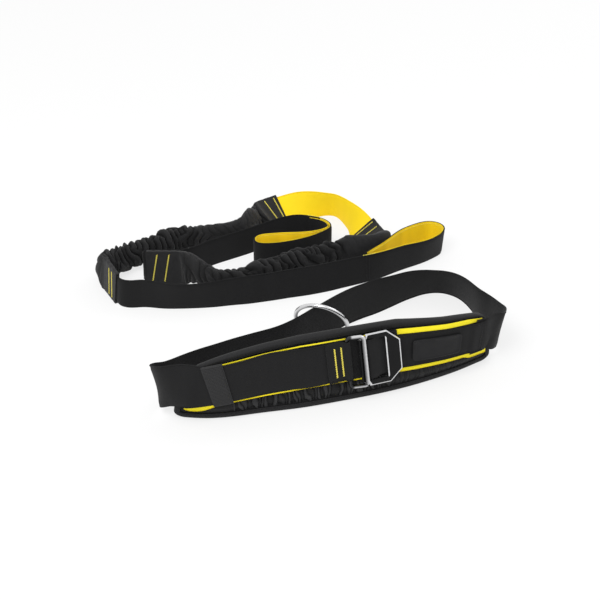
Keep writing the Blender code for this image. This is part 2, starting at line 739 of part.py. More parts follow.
def row_heights(s):
    """Heights of the pad's grid rows at s, close together near the binding."""
    top = pad_top(s)
    low = [h + 0 * top for h in edge_steps()]
    low.append(np.maximum(webbing_middle(s) - BACKING_WIDTH / 2, low[-1] + PAD_CROWN_RAMP / 4))
    high = [top - h for h in edge_steps()[::-1]]
    between = [low[-1] + (high[0] - low[-1]) * share for share in (1 / 3, 2 / 3)]
    return low + between + high


def pad_grid():
    """Belt coordinates s and z of the pad's grid, inside its outline."""
    outline, inward, bottom_count, end_count = pad_outline()
    inset = outline + inward * edge_steps()[0]
    right_chain = inset[bottom_count - 1:bottom_count + end_count]
    left_chain = np.vstack([inset[:1], inset[::-1][:end_count]])
    steps = edge_steps()[1:] - edge_steps()[0]
    columns = round(PAD_LENGTH / PAD_COLUMN_STEP)
    s_rows, z_rows = [], []
    count = len(row_heights(0.0))
    for k in range(count):
        share = k / (count - 1)
        ends = []
        for chain in (left_chain, right_chain):
            here = chain[0, 0] + (chain[-1, 0] - chain[0, 0]) * share
            ends.append(float(np.interp(row_heights(here)[k], chain[:, 1], chain[:, 0])))
        left, right = ends
        inner = np.linspace(left + steps[-1], right - steps[-1], columns)
        s = np.concatenate([[left], left + steps[:-1], inner, right - steps[-2::-1], [right]])
        s_rows.append(s)
        z_rows.append(row_heights(s)[k])
    return np.array(s_rows), np.array(z_rows)


def make_pad():
    s, z = pad_grid()
    crown_start = BINDING_DEPTH + CROWN_START_MARGIN
    crown = smoothstep((outline_distance(s, z) - crown_start) / PAD_CROWN_RAMP)
    half = FOAM_EDGE_THICKNESS / 2 + (FOAM_THICKNESS - FOAM_EDGE_THICKNESS) / 2 * crown
    below = webbing_middle(s) - BACKING_WIDTH / 2 - BINDING_DEPTH - CROWN_START_MARGIN
    share = np.clip((z - BINDING_DEPTH) / below, 0.0, 1.0)
    near = np.minimum(s, PAD_LENGTH - s) - PAD_END_SLANT
    bulge = PAD_BULGE * np.sin(math.pi * share) * crown * smoothstep(near / BULGE_FADE)
    cover = PAD_GAP + COVER_THICKNESS / 2
    pillow("pad_foam", on_belt(s, half + bulge, z), on_belt(s, -half, z), "foam")
    rows, columns = s.shape
    for name, w in (("pad_front_cover", half + bulge + cover), ("pad_back_cover", -half - cover)):
        sheet = mesh_object(name, on_belt(s, w, z).reshape(-1, 3), grid_faces(rows, columns),
                            "black_cloth")
        solidify(sheet, COVER_THICKNESS)


def make_binding():
    outline, inward, _, _ = pad_outline()
    half = binding_half()
    channel = half - BINDING_WALL
    section = [(BINDING_CHAMFER, -half), (0.0, BINDING_CHAMFER - half),
               (0.0, half - BINDING_CHAMFER), (BINDING_CHAMFER, half), (BINDING_DEPTH, half),
               (BINDING_DEPTH, channel), (BINDING_WALL, channel), (BINDING_WALL, -channel),
               (BINDING_DEPTH, -channel), (BINDING_DEPTH, -half)]
    rings = []
    for place_here, direction in zip(outline, inward):
        spots = np.array([place_here + direction * depth for depth, _ in section])
        rings.append(on_belt(spots[:, 0], np.array([w for _, w in section]), spots[:, 1]))
    rings = np.array(rings + rings[:1])
    sides = len(section)
    count = len(rings) - 1
    faces = ring_faces(count, sides)
    for c in range(sides):
        after = (c + 1) % sides
        faces.append(((count - 1) * sides + c, c, after, (count - 1) * sides + after))
    mesh_object("pad_edge_binding", rings[:-1].reshape(-1, 3), faces, "black_webbing")


# Webbings sewn to the pad

def belt_sheet(name, lower, upper, number, material_name, thickness=WEBBING_THICKNESS):
    """A webbing on the pad between two edges given as s and z, on a numbered layer."""
    edges = []
    for s, z in (lower, upper):
        edges.append(on_belt(s, layer(s, number(s)), z))
    vertices = np.stack(edges, 1).reshape(-1, 3)
    faces = [(2 * k, 2 * k + 2, 2 * k + 3, 2 * k + 1) for k in range(len(edges[0]) - 1)]
    return solidify(mesh_object(name, vertices, faces, material_name), thickness)


def first_layer(s):
    return 0 * np.asarray(s)


def right_webbing_layer(s):
    """The right webbing steps up to the third layer where it covers the long strap's start."""
    start = STRAP_START_SHARE * PAD_LENGTH - UNDERLAP_STEP - FIT_GAP
    return 1 + smoothstep((np.asarray(s) - start) / UNDERLAP_STEP)


def make_backing():
    count = round(PAD_LENGTH / TWIST_STEP)
    low_start = BACKING_START_SHARE * PAD_LENGTH
    margin = BINDING_DEPTH + BACKING_END_MARGIN

    def top_edge(s):
        return np.minimum(webbing_middle(s) + BACKING_WIDTH / 2, pad_top(s) - BACKING_EDGE_MARGIN)
    low_end = PAD_LENGTH - margin
    s_low = np.linspace(low_start, low_end, count)
    s_high = (s_low + PAD_END_SLANT * (1 - smoothstep((s_low - low_start) / BACKING_SLANT_FADE))
              - PAD_END_SLANT * (1 - smoothstep((low_end - s_low) / BACKING_SLANT_FADE)))
    lower = (s_low, webbing_middle(s_low) - BACKING_WIDTH / 2)
    upper = (s_high, top_edge(s_high))
    belt_sheet("yellow_backing_webbing", lower, upper, first_layer, "yellow_webbing")


def strip_edges(s, width):
    middle = webbing_middle(s)
    return (s, middle - width / 2), (s, middle + width / 2)


def make_right_webbing():
    """The black webbing right of the buckle; its left end follows the buckle's turn."""
    start = plate_right_edge() - LOOP_TAIL_GAP
    step_start = STRAP_START_SHARE * PAD_LENGTH - UNDERLAP_STEP
    step_end = STRAP_START_SHARE * PAD_LENGTH
    end = step_end + STRAP_UNDERLAP
    plain = np.linspace(start, step_start, round((step_start - start) / TWIST_STEP))
    step = np.linspace(step_start, step_end, 5)[1:]
    s = np.concatenate([plain, step, [end]])
    fade = 1 - smoothstep((s - start) / WEBBING_SLANT_FADE)
    shift = RIGHT_WEBBING_WIDTH / 2 * roll_slope() * fade
    lower = strip_edges(s + shift, RIGHT_WEBBING_WIDTH)[0]
    upper = strip_edges(s - shift, RIGHT_WEBBING_WIDTH)[1]
    belt_sheet("right_belt_webbing", lower, upper, right_webbing_layer, "black_webbing")


def make_patch():
    """A rubber patch with a low rim, bare inside."""
    s0 = PATCH_SHARE * PAD_LENGTH - PATCH_LENGTH / 2
    rim = PATCH_RIM_WIDTH
    steps = np.array([0.0, rim, rim + PATCH_RIM_HEIGHT])
    lengths = np.concatenate([steps, np.linspace(steps[-1], PATCH_LENGTH - steps[-1], 6)[1:-1],
                              PATCH_LENGTH - steps[::-1]])
    heights = np.concatenate([steps, [PATCH_HEIGHT / 2], PATCH_HEIGHT - steps[::-1]]) \
        - PATCH_HEIGHT / 2
    s = np.tile(s0 + lengths, (len(heights), 1))
    rise = np.tile(heights[:, None], (1, len(lengths)))
    z = webbing_middle(s) + rise
    edge = np.minimum(np.minimum(s - s0, s0 + PATCH_LENGTH - s), PATCH_HEIGHT / 2 - abs(rise))
    back = layer(s, 1) + WEBBING_THICKNESS / 2 + PAD_GAP
    floor = np.where(edge < rim + FIT_GAP / 2, PATCH_RIM_HEIGHT, 0.0)
    front = back + PATCH_THICKNESS + floor
    pillow("rubber_patch", on_belt(s, front, z), on_belt(s, back, z), "black_rubber")


# Buckle

def buckle_origin():
    return BUCKLE_SHARE * PAD_LENGTH


def plate_right_edge():
    return buckle_origin() + PLATE_BODY_START + PLATE_BODY_LENGTH


def yellow_face(s):
    return layer(s, 0) + WEBBING_THICKNESS / 2


def roll_slope():
    return math.tan(math.radians(BUCKLE_ROLL))


def buckle_rise(u):
    """How far the buckle and the strap's end lie above the webbings' middle. They are turned
    about the frame's middle, and the turn eases out to the left along the strap."""
    u = np.asarray(u, float)
    turned = 1 - smoothstep((ROLL_EASE_U - u) / ROLL_EASE_LENGTH)
    return roll_slope() * (u - (HOOK_BAR_U + STRAP_BAR_U) / 2) * turned


def profile_point(u, height):
    """Middle of a belt-wide band at a distance u from the buckle and a height on the backing."""
    s = buckle_origin() + np.asarray(u, float)
    return on_belt(s, yellow_face(s) + height, webbing_middle(s) + buckle_rise(u))


def rolled_up(s):
    """The belt's up direction at each s, turned with the buckle."""
    tangent = on_belt(s + ROUTE_STEP, 0.0, 0.0) - on_belt(s - ROUTE_STEP, 0.0, 0.0)
    u = s - buckle_origin()
    rise = buckle_rise(u + ROUTE_STEP) - buckle_rise(u - ROUTE_STEP)
    return unit(belt_up(s) - (rise / (2 * ROUTE_STEP))[..., None] * unit(tangent))


def profile_route(profile):
    """A route through profile points of u and height, with the belt's lean."""
    profile = np.asarray(profile)
    s = buckle_origin() + profile[:, 0]
    return profile_point(profile[:, 0], profile[:, 1]), rolled_up(s)


def arc_profile(centre, radius, start, end):
    angles = np.radians(np.linspace(start, end, 17))
    return [(centre[0] + radius * math.cos(a), centre[1] + radius * math.sin(a)) for a in angles]


def slope_profile(u0, h0, u1, h1):
    shares = np.linspace(0.0, 1.0, 9)[1:-1]
    return [(u0 + (u1 - u0) * k, h0 + (h1 - h0) * float(smoothstep(k))) for k in shares]


def buckle_axes():
    """The buckle's own frame: its origin on the backing's face, along, up and outward."""
    nudge = PLATE_BODY_LENGTH / 4
    s = buckle_origin() + nudge
    middle = webbing_middle(s)
    level = unit(on_belt(s + nudge, 0.0, middle) - on_belt(s - nudge, 0.0, middle))
    upright = belt_up(s)
    upright = unit(upright - (upright @ level) * level)
    along = unit(level + roll_slope() * upright)
    up = unit(upright - roll_slope() * level)
    origin = profile_point(nudge, 0.0) - along * nudge
    return origin, along, up, np.cross(along, up)


def buckle_point(u, v, h):
    origin, along, up, outward = buckle_axes()
    return origin + along * u + up * v + outward * h


def plate_bar_height():
    return PLATE_STANDOFF + PLATE_THICKNESS / 2


def make_plate_loop():
    """The webbing loop that ties the plate's bar to the belt, ends under the plate."""
    centre = (PLATE_BAR_U, plate_bar_height())
    radius = PLATE_BAR_DIAMETER / 2 + BAR_WRAP_GAP + WEBBING_THICKNESS / 2
    tail = PLATE_BAR_U + LOOP_TAIL_LENGTH
    under_start = centre[0] + 2 * radius
    through = WINDOW_RIGHT_U - PLATE_THICKNESS / 2
    profile = [(tail, LAYER_ONE), ((tail + under_start) / 2 + radius, LAYER_ONE)]
    profile += slope_profile((tail + under_start) / 2, LAYER_ONE, centre[0] + radius / 2,
                             centre[1] - radius)
    profile += arc_profile(centre, radius, -90.0, -270.0)
    profile += slope_profile(centre[0] + radius / 2, centre[1] + radius, through, LAYER_TWO)
    profile += [(through, LAYER_TWO), ((tail + through) / 2, LAYER_TWO), (tail, LAYER_TWO)]
    points, ups = profile_route(profile)
    band("plate_loop_webbing", Route(points, ups), BELT_STRAP_WIDTH, WEBBING_THICKNESS,
         "black_webbing", turn=WRAP_TURN)


def make_buckle_plate():
    """A flat plate with one window, a narrower hooked tongue and a round webbing bar."""
    half, tongue = PLATE_HEIGHT / 2, TONGUE_HEIGHT / 2
    right = PLATE_BODY_START + PLATE_BODY_LENGTH
    left = PLATE_BODY_START - TONGUE_LENGTH
    outer = [(left, -tongue), (PLATE_BODY_START, -tongue), (PLATE_BODY_START, -half),
             (right - PLATE_CHAMFER, -half), (right, PLATE_CHAMFER - half),
             (right, half - PLATE_CHAMFER), (right - PLATE_CHAMFER, half),
             (PLATE_BODY_START, half), (PLATE_BODY_START, tongue), (left, tongue)]
    window_left = left + TONGUE_BAR_WIDTH
    window = [(window_left, -WINDOW_HEIGHT / 2), (WINDOW_RIGHT_U, -WINDOW_HEIGHT / 2),
              (WINDOW_RIGHT_U, WINDOW_HEIGHT / 2), (window_left, WINDOW_HEIGHT / 2)]
    shifted = [[(u - PLATE_BAR_U, v) for u, v in loop] for loop in (outer, window)]
    base = outline_solid("buckle_plate", shifted, PLATE_THICKNESS)
    bar_length = WINDOW_HEIGHT + (TONGUE_HEIGHT - WINDOW_HEIGHT) / 2
    hook_height = PLATE_THICKNESS / 2 + HOOK_RISE
    hook = box_mesh((HOOK_LENGTH, TONGUE_HEIGHT, hook_height))
    hook_place = Matrix.Translation((left + HOOK_LENGTH / 2 - PLATE_BAR_U, 0.0, hook_height / 2))
    mesh = joined("buckle_plate", base, [
        (bar_mesh(PLATE_BAR_DIAMETER, bar_length), Matrix.Identity(4)), (hook, hook_place)])
    _, along, up, _ = buckle_axes()
    origin = buckle_point(PLATE_BAR_U, 0.0, plate_bar_height())
    link_part(bpy.data.objects.new("buckle_plate", mesh), "black_steel",
              place(origin, along, up))


def frame_axes():
    """The frame's hinge on its strap bar, and the direction to its hook bar."""
    radius = FRAME_STRAP_BAR_DIAMETER / 2 + BAR_WRAP_GAP + WEBBING_THICKNESS / 2
    hinge = profile_point(STRAP_BAR_U, LAYER_ONE + radius)
    plate_top = PLATE_STANDOFF + PLATE_THICKNESS
    hook_bar = buckle_point(HOOK_BAR_U, 0.0,
                            plate_top + HOOK_SEAT_GAP + FRAME_HOOK_BAR_DIAMETER / 2)
    _, _, up, _ = buckle_axes()
    reach = hook_bar - hinge
    reach = reach - (reach @ up) * up
    return hinge, unit(reach), up, float(np.linalg.norm(reach))


def make_buckle_frame():
    """A chrome frame of two flat sides, a thick hook bar and a thinner strap bar."""
    hinge, reach, up, spacing = frame_axes()
    half = FRAME_HEIGHT / 2
    inner = half - FRAME_SIDE_WIDTH
    end = FRAME_HOOK_BAR_DIAMETER / 2
    start = FRAME_STRAP_BAR_DIAMETER / 2
    bars = bar_mesh(FRAME_HOOK_BAR_DIAMETER, FRAME_HEIGHT)
    strap_bar = bar_mesh(FRAME_STRAP_BAR_DIAMETER, FRAME_HEIGHT - FRAME_SIDE_WIDTH)
    additions = [(strap_bar, Matrix.Translation((-spacing, 0.0, 0.0)))]
    side_length = spacing + start
    for sign in (-1, 1):
        side = box_mesh((side_length, FRAME_SIDE_WIDTH, FRAME_SIDE_THICKNESS))
        middle = -spacing / 2 - start / 2
        additions.append((side, Matrix.Translation((middle, sign * (inner + half) / 2, 0.0))))
    mesh = joined("buckle_frame", bars, additions)
    mesh.transform(Matrix.Translation((spacing, 0.0, 0.0)))
    link_part(bpy.data.objects.new("buckle_frame", mesh), "chrome", place(hinge, reach, up))


# Long strap, keeper and ring

def keeper_room():
    """How much higher the long strap lies where the keeper passes beneath it."""
    return KEEPER_THICKNESS + KEEPER_RIB_HEIGHT + KEEPER_GAP


def keeper_lift(s):
    past = KEEPER_SHARE * PAD_LENGTH + KEEPER_WIDTH
    return keeper_room() * (1 - smoothstep((np.asarray(s, float) - past) / KEEPER_WIDTH))


def long_strap_route():
    start = STRAP_START_SHARE * PAD_LENGTH
    s = np.linspace(start, STRAP_LEAVES_SHARE * PAD_LENGTH, 6)
    first = np.hstack([on_belt(s, layer(s, 1), webbing_middle(s)), belt_up(s)])
    shares = np.array(LONG_STRAP_SHARES, float)
    free = band_rows(shares[:, :3] * BELT_SPAN, shares[:, 3], BELT_STRAP_WIDTH)
    s = np.linspace(KEEPER_SHARE * PAD_LENGTH - KEEPER_APPROACH,
                    buckle_origin() + STRAP_BAR_U - 2 * FLAP_LENGTH, 12)
    w = yellow_face(s) + LAYER_ONE + keeper_lift(s)
    z = webbing_middle(s) + buckle_rise(s - buckle_origin())
    last = np.hstack([on_belt(s, w, z), belt_up(s)])
    free_part = splined(np.vstack([first, free, last]))

    radius = FRAME_STRAP_BAR_DIAMETER / 2 + BAR_WRAP_GAP + WEBBING_THICKNESS / 2
    centre = (STRAP_BAR_U, LAYER_ONE + radius)
    lay_flat = STRAP_BAR_U - FLAP_LENGTH / 2
    flap_end = STRAP_BAR_U - FLAP_LENGTH
    profile = [(flap_end - FLAP_LENGTH / 2, LAYER_ONE), (lay_flat, LAYER_ONE)]
    profile += arc_profile(centre, radius, -90.0, 90.0)
    profile += slope_profile(centre[0] - radius / 4, centre[1] + radius, lay_flat, LAYER_TWO)
    profile += [(lay_flat, LAYER_TWO), (flap_end, LAYER_TWO)]
    points, ups = profile_route(profile)
    return Route(np.vstack([free_part.points, points]), np.vstack([free_part.ups, ups]))


def make_long_strap(route):
    band("long_belt_strap", route, BELT_STRAP_WIDTH, WEBBING_THICKNESS, "black_webbing")


def make_keeper():
    """A ribbed elastic loop round the long strap, resting on the backing webbing."""
    middle = KEEPER_SHARE * PAD_LENGTH
    columns = 2 * KEEPER_RIB_COUNT + 1
    s = middle + np.linspace(-KEEPER_WIDTH / 2, KEEPER_WIDTH / 2, columns)
    half_w = (WEBBING_THICKNESS + KEEPER_THICKNESS) / 2 + KEEPER_GAP
    half_z = (BELT_STRAP_WIDTH + KEEPER_THICKNESS) / 2 + KEEPER_SLACK
    loop = [(half_w, half_z - half_w), (half_w / 2, half_z), (-half_w / 2, half_z),
            (-half_w, half_z - half_w), (-half_w, 0.0), (-half_w, half_w - half_z),
            (-half_w / 2, -half_z), (half_w / 2, -half_z), (half_w, half_w - half_z),
            (half_w, 0.0)]
    rib = np.where(np.arange(columns) % 2 == 1, KEEPER_RIB_HEIGHT, 0.0)
    vertices = []
    for w, z in loop:
        centre_w = yellow_face(s) + LAYER_ONE + keeper_room()
        outward = np.sign(w) * rib
        vertices.append(on_belt(s, centre_w + w + outward, webbing_middle(s) + z))
    count = len(loop)
    vertices = np.array(vertices)
    faces = []
    for r in range(count):
        after = (r + 1) % count
        for c in range(columns - 1):
            faces.append((r * columns + c, r * columns + c + 1,
                          after * columns + c + 1, after * columns + c))
    keeper = mesh_object("elastic_keeper", vertices.reshape(-1, 3), faces, "elastic")
    solidify(keeper, KEEPER_THICKNESS)


def ring_normal():
    turn, tilt = math.radians(RING_TURN), math.radians(RING_TILT)
    return np.array([math.cos(turn) * math.cos(tilt), math.sin(turn) * math.cos(tilt),
                     math.sin(tilt)])


def make_ring(route):
    """A welded wire ring round the long strap, standing on the floor."""
    radius = RING_INNER_DIAMETER / 2 + RING_WIRE / 2
    at = route.nearest(np.array(RING_PLACE_SHARES) * BELT_SPAN)
    centre = route.read([at])[0][0]
    centre[2] = radius * math.cos(math.radians(RING_TILT)) + RING_WIRE / 2
    bpy.ops.mesh.primitive_torus_add(
        major_segments=32, minor_segments=10, major_radius=radius, minor_radius=RING_WIRE / 2)
    ring = bpy.context.object
    ring.name = "glide_ring"
    ring.data.name = "glide_ring"
    normal = ring_normal()
    level = unit(np.cross(UP, normal))
    link_part(ring, "chrome", place(centre, level, np.cross(normal, level)))


# Leash

def tab_lift(lean_degrees):
    """How high a webbing's lower edge stands where it lies in a tab that is on the floor."""
    lean = np.radians(np.abs(np.asarray(lean_degrees, float)))
    tab = TAB_HEIGHT / 2 * np.cos(lean) + TAB_THICKNESS / 2 * np.sin(lean)
    return tab - LEASH_WEBBING_WIDTH / 2 * np.cos(lean)


def leash_route(shares):
    shares = np.array(shares, float)
    lower = shares[:, :3] * LEASH_SPREAD
    lower[:, 2] = shares[:, 2] * tab_lift(shares[:, 3])
    return splined(band_rows(lower, shares[:, 3], LEASH_WEBBING_WIDTH))


def make_hand_loop(name, route, stem_shares, side):
    """The lining inside a hand loop, which follows its strap a layer further in."""
    stem = np.array(stem_shares) * LEASH_SPREAD
    first = route.nearest(stem) + LINING_STEM_SETBACK
    last = route.length - LINING_STEM_SETBACK
    inside = (WEBBING_THICKNESS + LINING_THICKNESS) / 2 + FIT_GAP
    lining = route.offset(side * inside).part(first, last)
    band(name, lining, LEASH_WEBBING_WIDTH, LINING_THICKNESS, "yellow_webbing",
         step=LEASH_BAND_STEP)


def sleeve_route(before, shares, after):
    """From one tab through the sleeve's own rows to the other tab, as points and up vectors."""
    shares = np.array(shares, float)
    lean = np.radians(shares[:, 2])
    drop = SLEEVE_HEIGHT / 2 * np.cos(lean) + SLEEVE_THICKNESS / 2 * np.abs(np.sin(lean))
    middle = np.stack([shares[:, 0] * LEASH_SPREAD, shares[:, 1] * LEASH_SPREAD, drop], -1)
    ups = leaning(middle, shares[:, 2])
    own = np.hstack([middle, ups])
    return splined(np.vstack([before, own, after]))


def tab_rows(route, start, end):
    """Rows of a webbing's route inside a tab, from one length to another."""
    points, ups, _ = route.read(np.linspace(start, end, TAB_ROW_COUNT))
    return np.hstack([points, ups])


def sleeve_form(places, length, is_bent):
    """Half height and half thickness of the sleeve, and how deep its ruffles are."""
    end = np.minimum(places, length - places)
    opened = smoothstep((end - TAB_LENGTH) / NECK_LENGTH)
    share = places / length
    high = np.full_like(places, SLEEVE_HEIGHT / 2)
    wide = np.full_like(places, SLEEVE_THICKNESS / 2)
    deep = np.full_like(places, RUFFLE_DEPTH)
    if is_bent:
        smooth_from, smooth_to = SMOOTH_BEND_SHARES
        bend = 1 - smoothstep((share - smooth_to) / (smooth_to - smooth_from) * 2)
        wide -= (SLEEVE_THICKNESS - SLEEVE_BEND_THICKNESS) / 2 * bend
        deep *= 1 - bend
        centre, reach = PINCH_SHARES
        pinch = np.exp(-((share - centre) / reach) ** 2)
        high -= (SLEEVE_HEIGHT - SLEEVE_PINCH_HEIGHT) / 2 * pinch
    high = TAB_HEIGHT / 2 + (high - TAB_HEIGHT / 2) * opened
    wide = TAB_THICKNESS / 2 + (wide - TAB_THICKNESS / 2) * opened
    return high, wide, deep * opened


def roundness(places, length):
    """Rectangular sections in the tabs, oval ones between them."""
    near = np.minimum(places, length - places)
    opened = smoothstep((near - TAB_LENGTH) / NECK_LENGTH)
    return (TAB_ROUNDNESS + (1 - TAB_ROUNDNESS) * opened)[:, None]


def make_sleeve(name, route, is_bent):
    places = np.linspace(0.0, route.length, round(route.length / SLEEVE_RING_STEP))
    high, wide, deep = sleeve_form(places, route.length, is_bent)
    turn = 2 * math.pi * np.arange(SLEEVE_SIDES) / SLEEVE_SIDES
    phase = 2 * math.pi * (places[:, None] / RUFFLE_PITCH + RUFFLE_SLANT
                             * np.sin(turn + RUFFLE_START_TURN))
    drift = RUFFLE_DRIFT * np.sin(RUFFLE_DRIFT_RATE * phase)
    fold = deep[:, None] * (0.5 + 0.5 * np.sin(phase + drift))
    outer = rings_along(route, places, high[:, None] - fold, wide[:, None] - fold, SLEEVE_SIDES,
                        roundness(places, route.length))

    ends = np.concatenate([TAB_LENGTH * np.linspace(0.0, 1.0, 5),
                           TAB_LENGTH + NECK_LENGTH * np.linspace(0.0, 1.0, 5)[1:-1]])
    between = route.part(TAB_LENGTH + NECK_LENGTH, route.length - TAB_LENGTH - NECK_LENGTH)
    middle = TAB_LENGTH + NECK_LENGTH + between.stops(BORE_RING_STEP, BORE_RING_TURN)
    stops = np.concatenate([ends, middle, route.length - ends[::-1]])
    high, wide, deep = sleeve_form(stops, route.length, is_bent)
    near = np.minimum(stops, route.length - stops)
    opened = smoothstep((near - TAB_LENGTH) / NECK_LENGTH)
    tab_wall = (TAB_THICKNESS - WEBBING_THICKNESS) / 2 - SEWN_GAP
    tab_rim = (TAB_HEIGHT - LEASH_WEBBING_WIDTH) / 2 - SEWN_GAP
    wall = SLEEVE_WALL * opened + tab_wall * (1 - opened)
    bore_high = high - SLEEVE_WALL * opened - tab_rim * (1 - opened)
    fold = deep[:, None] * BORE_FOLD_SHARE
    inner = rings_along(route, stops, bore_high[:, None] - fold, (wide - wall)[:, None] - fold,
                        SLEEVE_SIDES, roundness(stops, route.length))
    hollow_loft(name, outer, inner, "black_cloth")


def make_tube(name, route, start, end):
    inside = route.part(start + ANCHOR_STEM_LENGTH, end - ANCHOR_STEM_LENGTH)
    middle = start + ANCHOR_STEM_LENGTH + inside.stops(TUBE_RING_STEP, TUBE_RING_TURN)
    near = np.linspace(0.0, ANCHOR_STEM_LENGTH, 4)[:-1]
    places = np.concatenate([start + near, middle, end - near[::-1]])
    rings = []
    for diameter in (TUBE_DIAMETER, TUBE_BORE):
        half = np.full((len(places), 1), diameter / 2)
        rings.append(rings_along(route, places, half, half, TUBE_SIDES))
    hollow_loft(name, rings[0], rings[1], "latex")


def make_anchor(name, route, origin, direction):
    """A moulded anchor: a flat tongue sewn in the tab, a shank, a collar and a barbed stem."""
    stem = TUBE_BORE / 2 - FIT_GAP
    core = stem * ANCHOR_STEM_SHARE
    shank = ANCHOR_SHANK_DIAMETER / 2
    collar = ANCHOR_COLLAR_DIAMETER / 2
    tongue = (ANCHOR_TONGUE_THICKNESS / 2, ANCHOR_TONGUE_WIDTH / 2)
    tongue_end = ANCHOR_TONGUE_LENGTH
    collar_start = anchor_reach() - ANCHOR_COLLAR_LENGTH
    collar_end = anchor_reach()
    shank_places = np.linspace(tongue_end + 2 * shank, collar_start, SHANK_RING_COUNT)
    sizes = [(0.0, tongue), (tongue_end / 2, tongue), (tongue_end, tongue)]
    sizes += [(spot, (shank, shank)) for spot in shank_places]
    sizes += [(collar_start, (collar, collar)), (collar_end, (collar, collar)),
              (collar_end, (core, core))]
    pitch = ANCHOR_STEM_LENGTH / ANCHOR_BARB_COUNT
    for k in range(ANCHOR_BARB_COUNT):
        root_place = collar_end + pitch * k
        sizes += [(root_place + pitch / 4, (core, core)), (root_place + pitch / 3, (stem, stem)),
                  (root_place + pitch, (core, core))]
    rings = []
    for distance, (wide, high) in sizes:
        here = origin + direction * distance
        rings.append(rings_along(route, [here], [[high]], [[wide]], TUBE_SIDES)[0])
    if direction < 0:
        rings = rings[::-1]
    loft(name, rings, "nylon")


def anchor_reach():
    """From the tongue's end to the face of the collar that the tube meets."""
    return TAB_LENGTH + NECK_LENGTH - TAB_WEBBING_DEPTH - ANCHOR_END_GAP


def make_leash():
    left_strap = leash_route(LEFT_STRAP_SHARES)
    right_strap = leash_route(RIGHT_STRAP_SHARES)
    connector = leash_route(CONNECTOR_SHARES)
    inset = TAB_LENGTH - TAB_WEBBING_DEPTH
    for name, route, end, colour in (
            ("left_strap", left_strap, left_strap.length, "black_webbing"),
            ("right_strap", right_strap, right_strap.length, "black_webbing"),
            ("connector_webbing", connector, connector.length - inset, "yellow_webbing")):
        band(name, route.part(inset, end), LEASH_WEBBING_WIDTH, WEBBING_THICKNESS, colour,
             step=LEASH_BAND_STEP)
    make_hand_loop("left_handle_lining", left_strap, LEFT_LOOP_STEM_SHARES, -1)
    make_hand_loop("right_handle_lining", right_strap, RIGHT_LOOP_STEM_SHARES, 1)

    left = sleeve_route(tab_rows(connector, TAB_LENGTH, 0.0), LEFT_SLEEVE_SHARES,
                        tab_rows(left_strap, 0.0, TAB_LENGTH))
    right = sleeve_route(tab_rows(connector, connector.length - TAB_LENGTH, connector.length),
                         RIGHT_SLEEVE_SHARES, tab_rows(right_strap, 0.0, TAB_LENGTH))
    for side, route, is_bent in (("left", left, False), ("right", right, True)):
        make_sleeve(side + "_sleeve", route, is_bent)
        first = TAB_WEBBING_DEPTH + ANCHOR_END_GAP
        face = first + anchor_reach() + FIT_GAP
        make_tube(side + "_tube", route, face, route.length - face)
        make_anchor(side + "_rear_anchor", route, first, 1)
        make_anchor(side + "_front_anchor", route, route.length - first, -1)
    return left, right


def stand_on_origin():
    """Move the set so that the middle of its bounding box's floor is the origin."""
    bpy.context.view_layer.update()
    graph = bpy.context.evaluated_depsgraph_get()
    corners = []
    for obj in parts.objects:
        evaluated = obj.evaluated_get(graph)
        if evaluated.type == "MESH":
            mesh = evaluated.to_mesh()
            corners += [evaluated.matrix_world @ vertex.co for vertex in mesh.vertices]
            evaluated.to_mesh_clear()
    corners = np.array([tuple(corner) for corner in corners])
    low, high = corners.min(axis=0), corners.max(axis=0)
    root.location = (-(low[0] + high[0]) / 2, -(low[1] + high[1]) / 2, -low[2])
    bpy.context.view_layer.update()


clear_scene()
parts = new_collection(OBJECT_NAME)
cutters = new_collection(OBJECT_NAME + "_cutters")
root = bpy.data.objects.new("layout", None)
parts.objects.link(root)
BELT, BELT_SPAN = belt_line()

make_pad()
make_binding()
make_backing()
make_right_webbing()
make_patch()
make_plate_loop()
make_buckle_plate()
make_buckle_frame()
strap_route = long_strap_route()
make_long_strap(strap_route)
make_keeper()
make_ring(strap_route)
left_line, right_line = make_leash()
stand_on_origin()
print("long strap", round(strap_route.length, 3), "left sleeve", round(left_line.length, 3),
      "right sleeve", round(right_line.length, 3), "floor shift", tuple(root.location))
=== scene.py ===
"""Looks of a resistance sprint trainer that is laid out on a white studio floor.

A padded waist belt closes with a hooked plate and a chrome frame, and a steel ring glides on its
long strap. Behind it lies the leash: two gathered sleeves over latex tubes, a yellow webbing
between them, and two black straps that end in lined hand loops.
Everything is in metres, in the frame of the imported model. The lengths below are measured in the
belt's or the leash's own layout, which LAYOUT_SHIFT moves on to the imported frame.
"""
import math

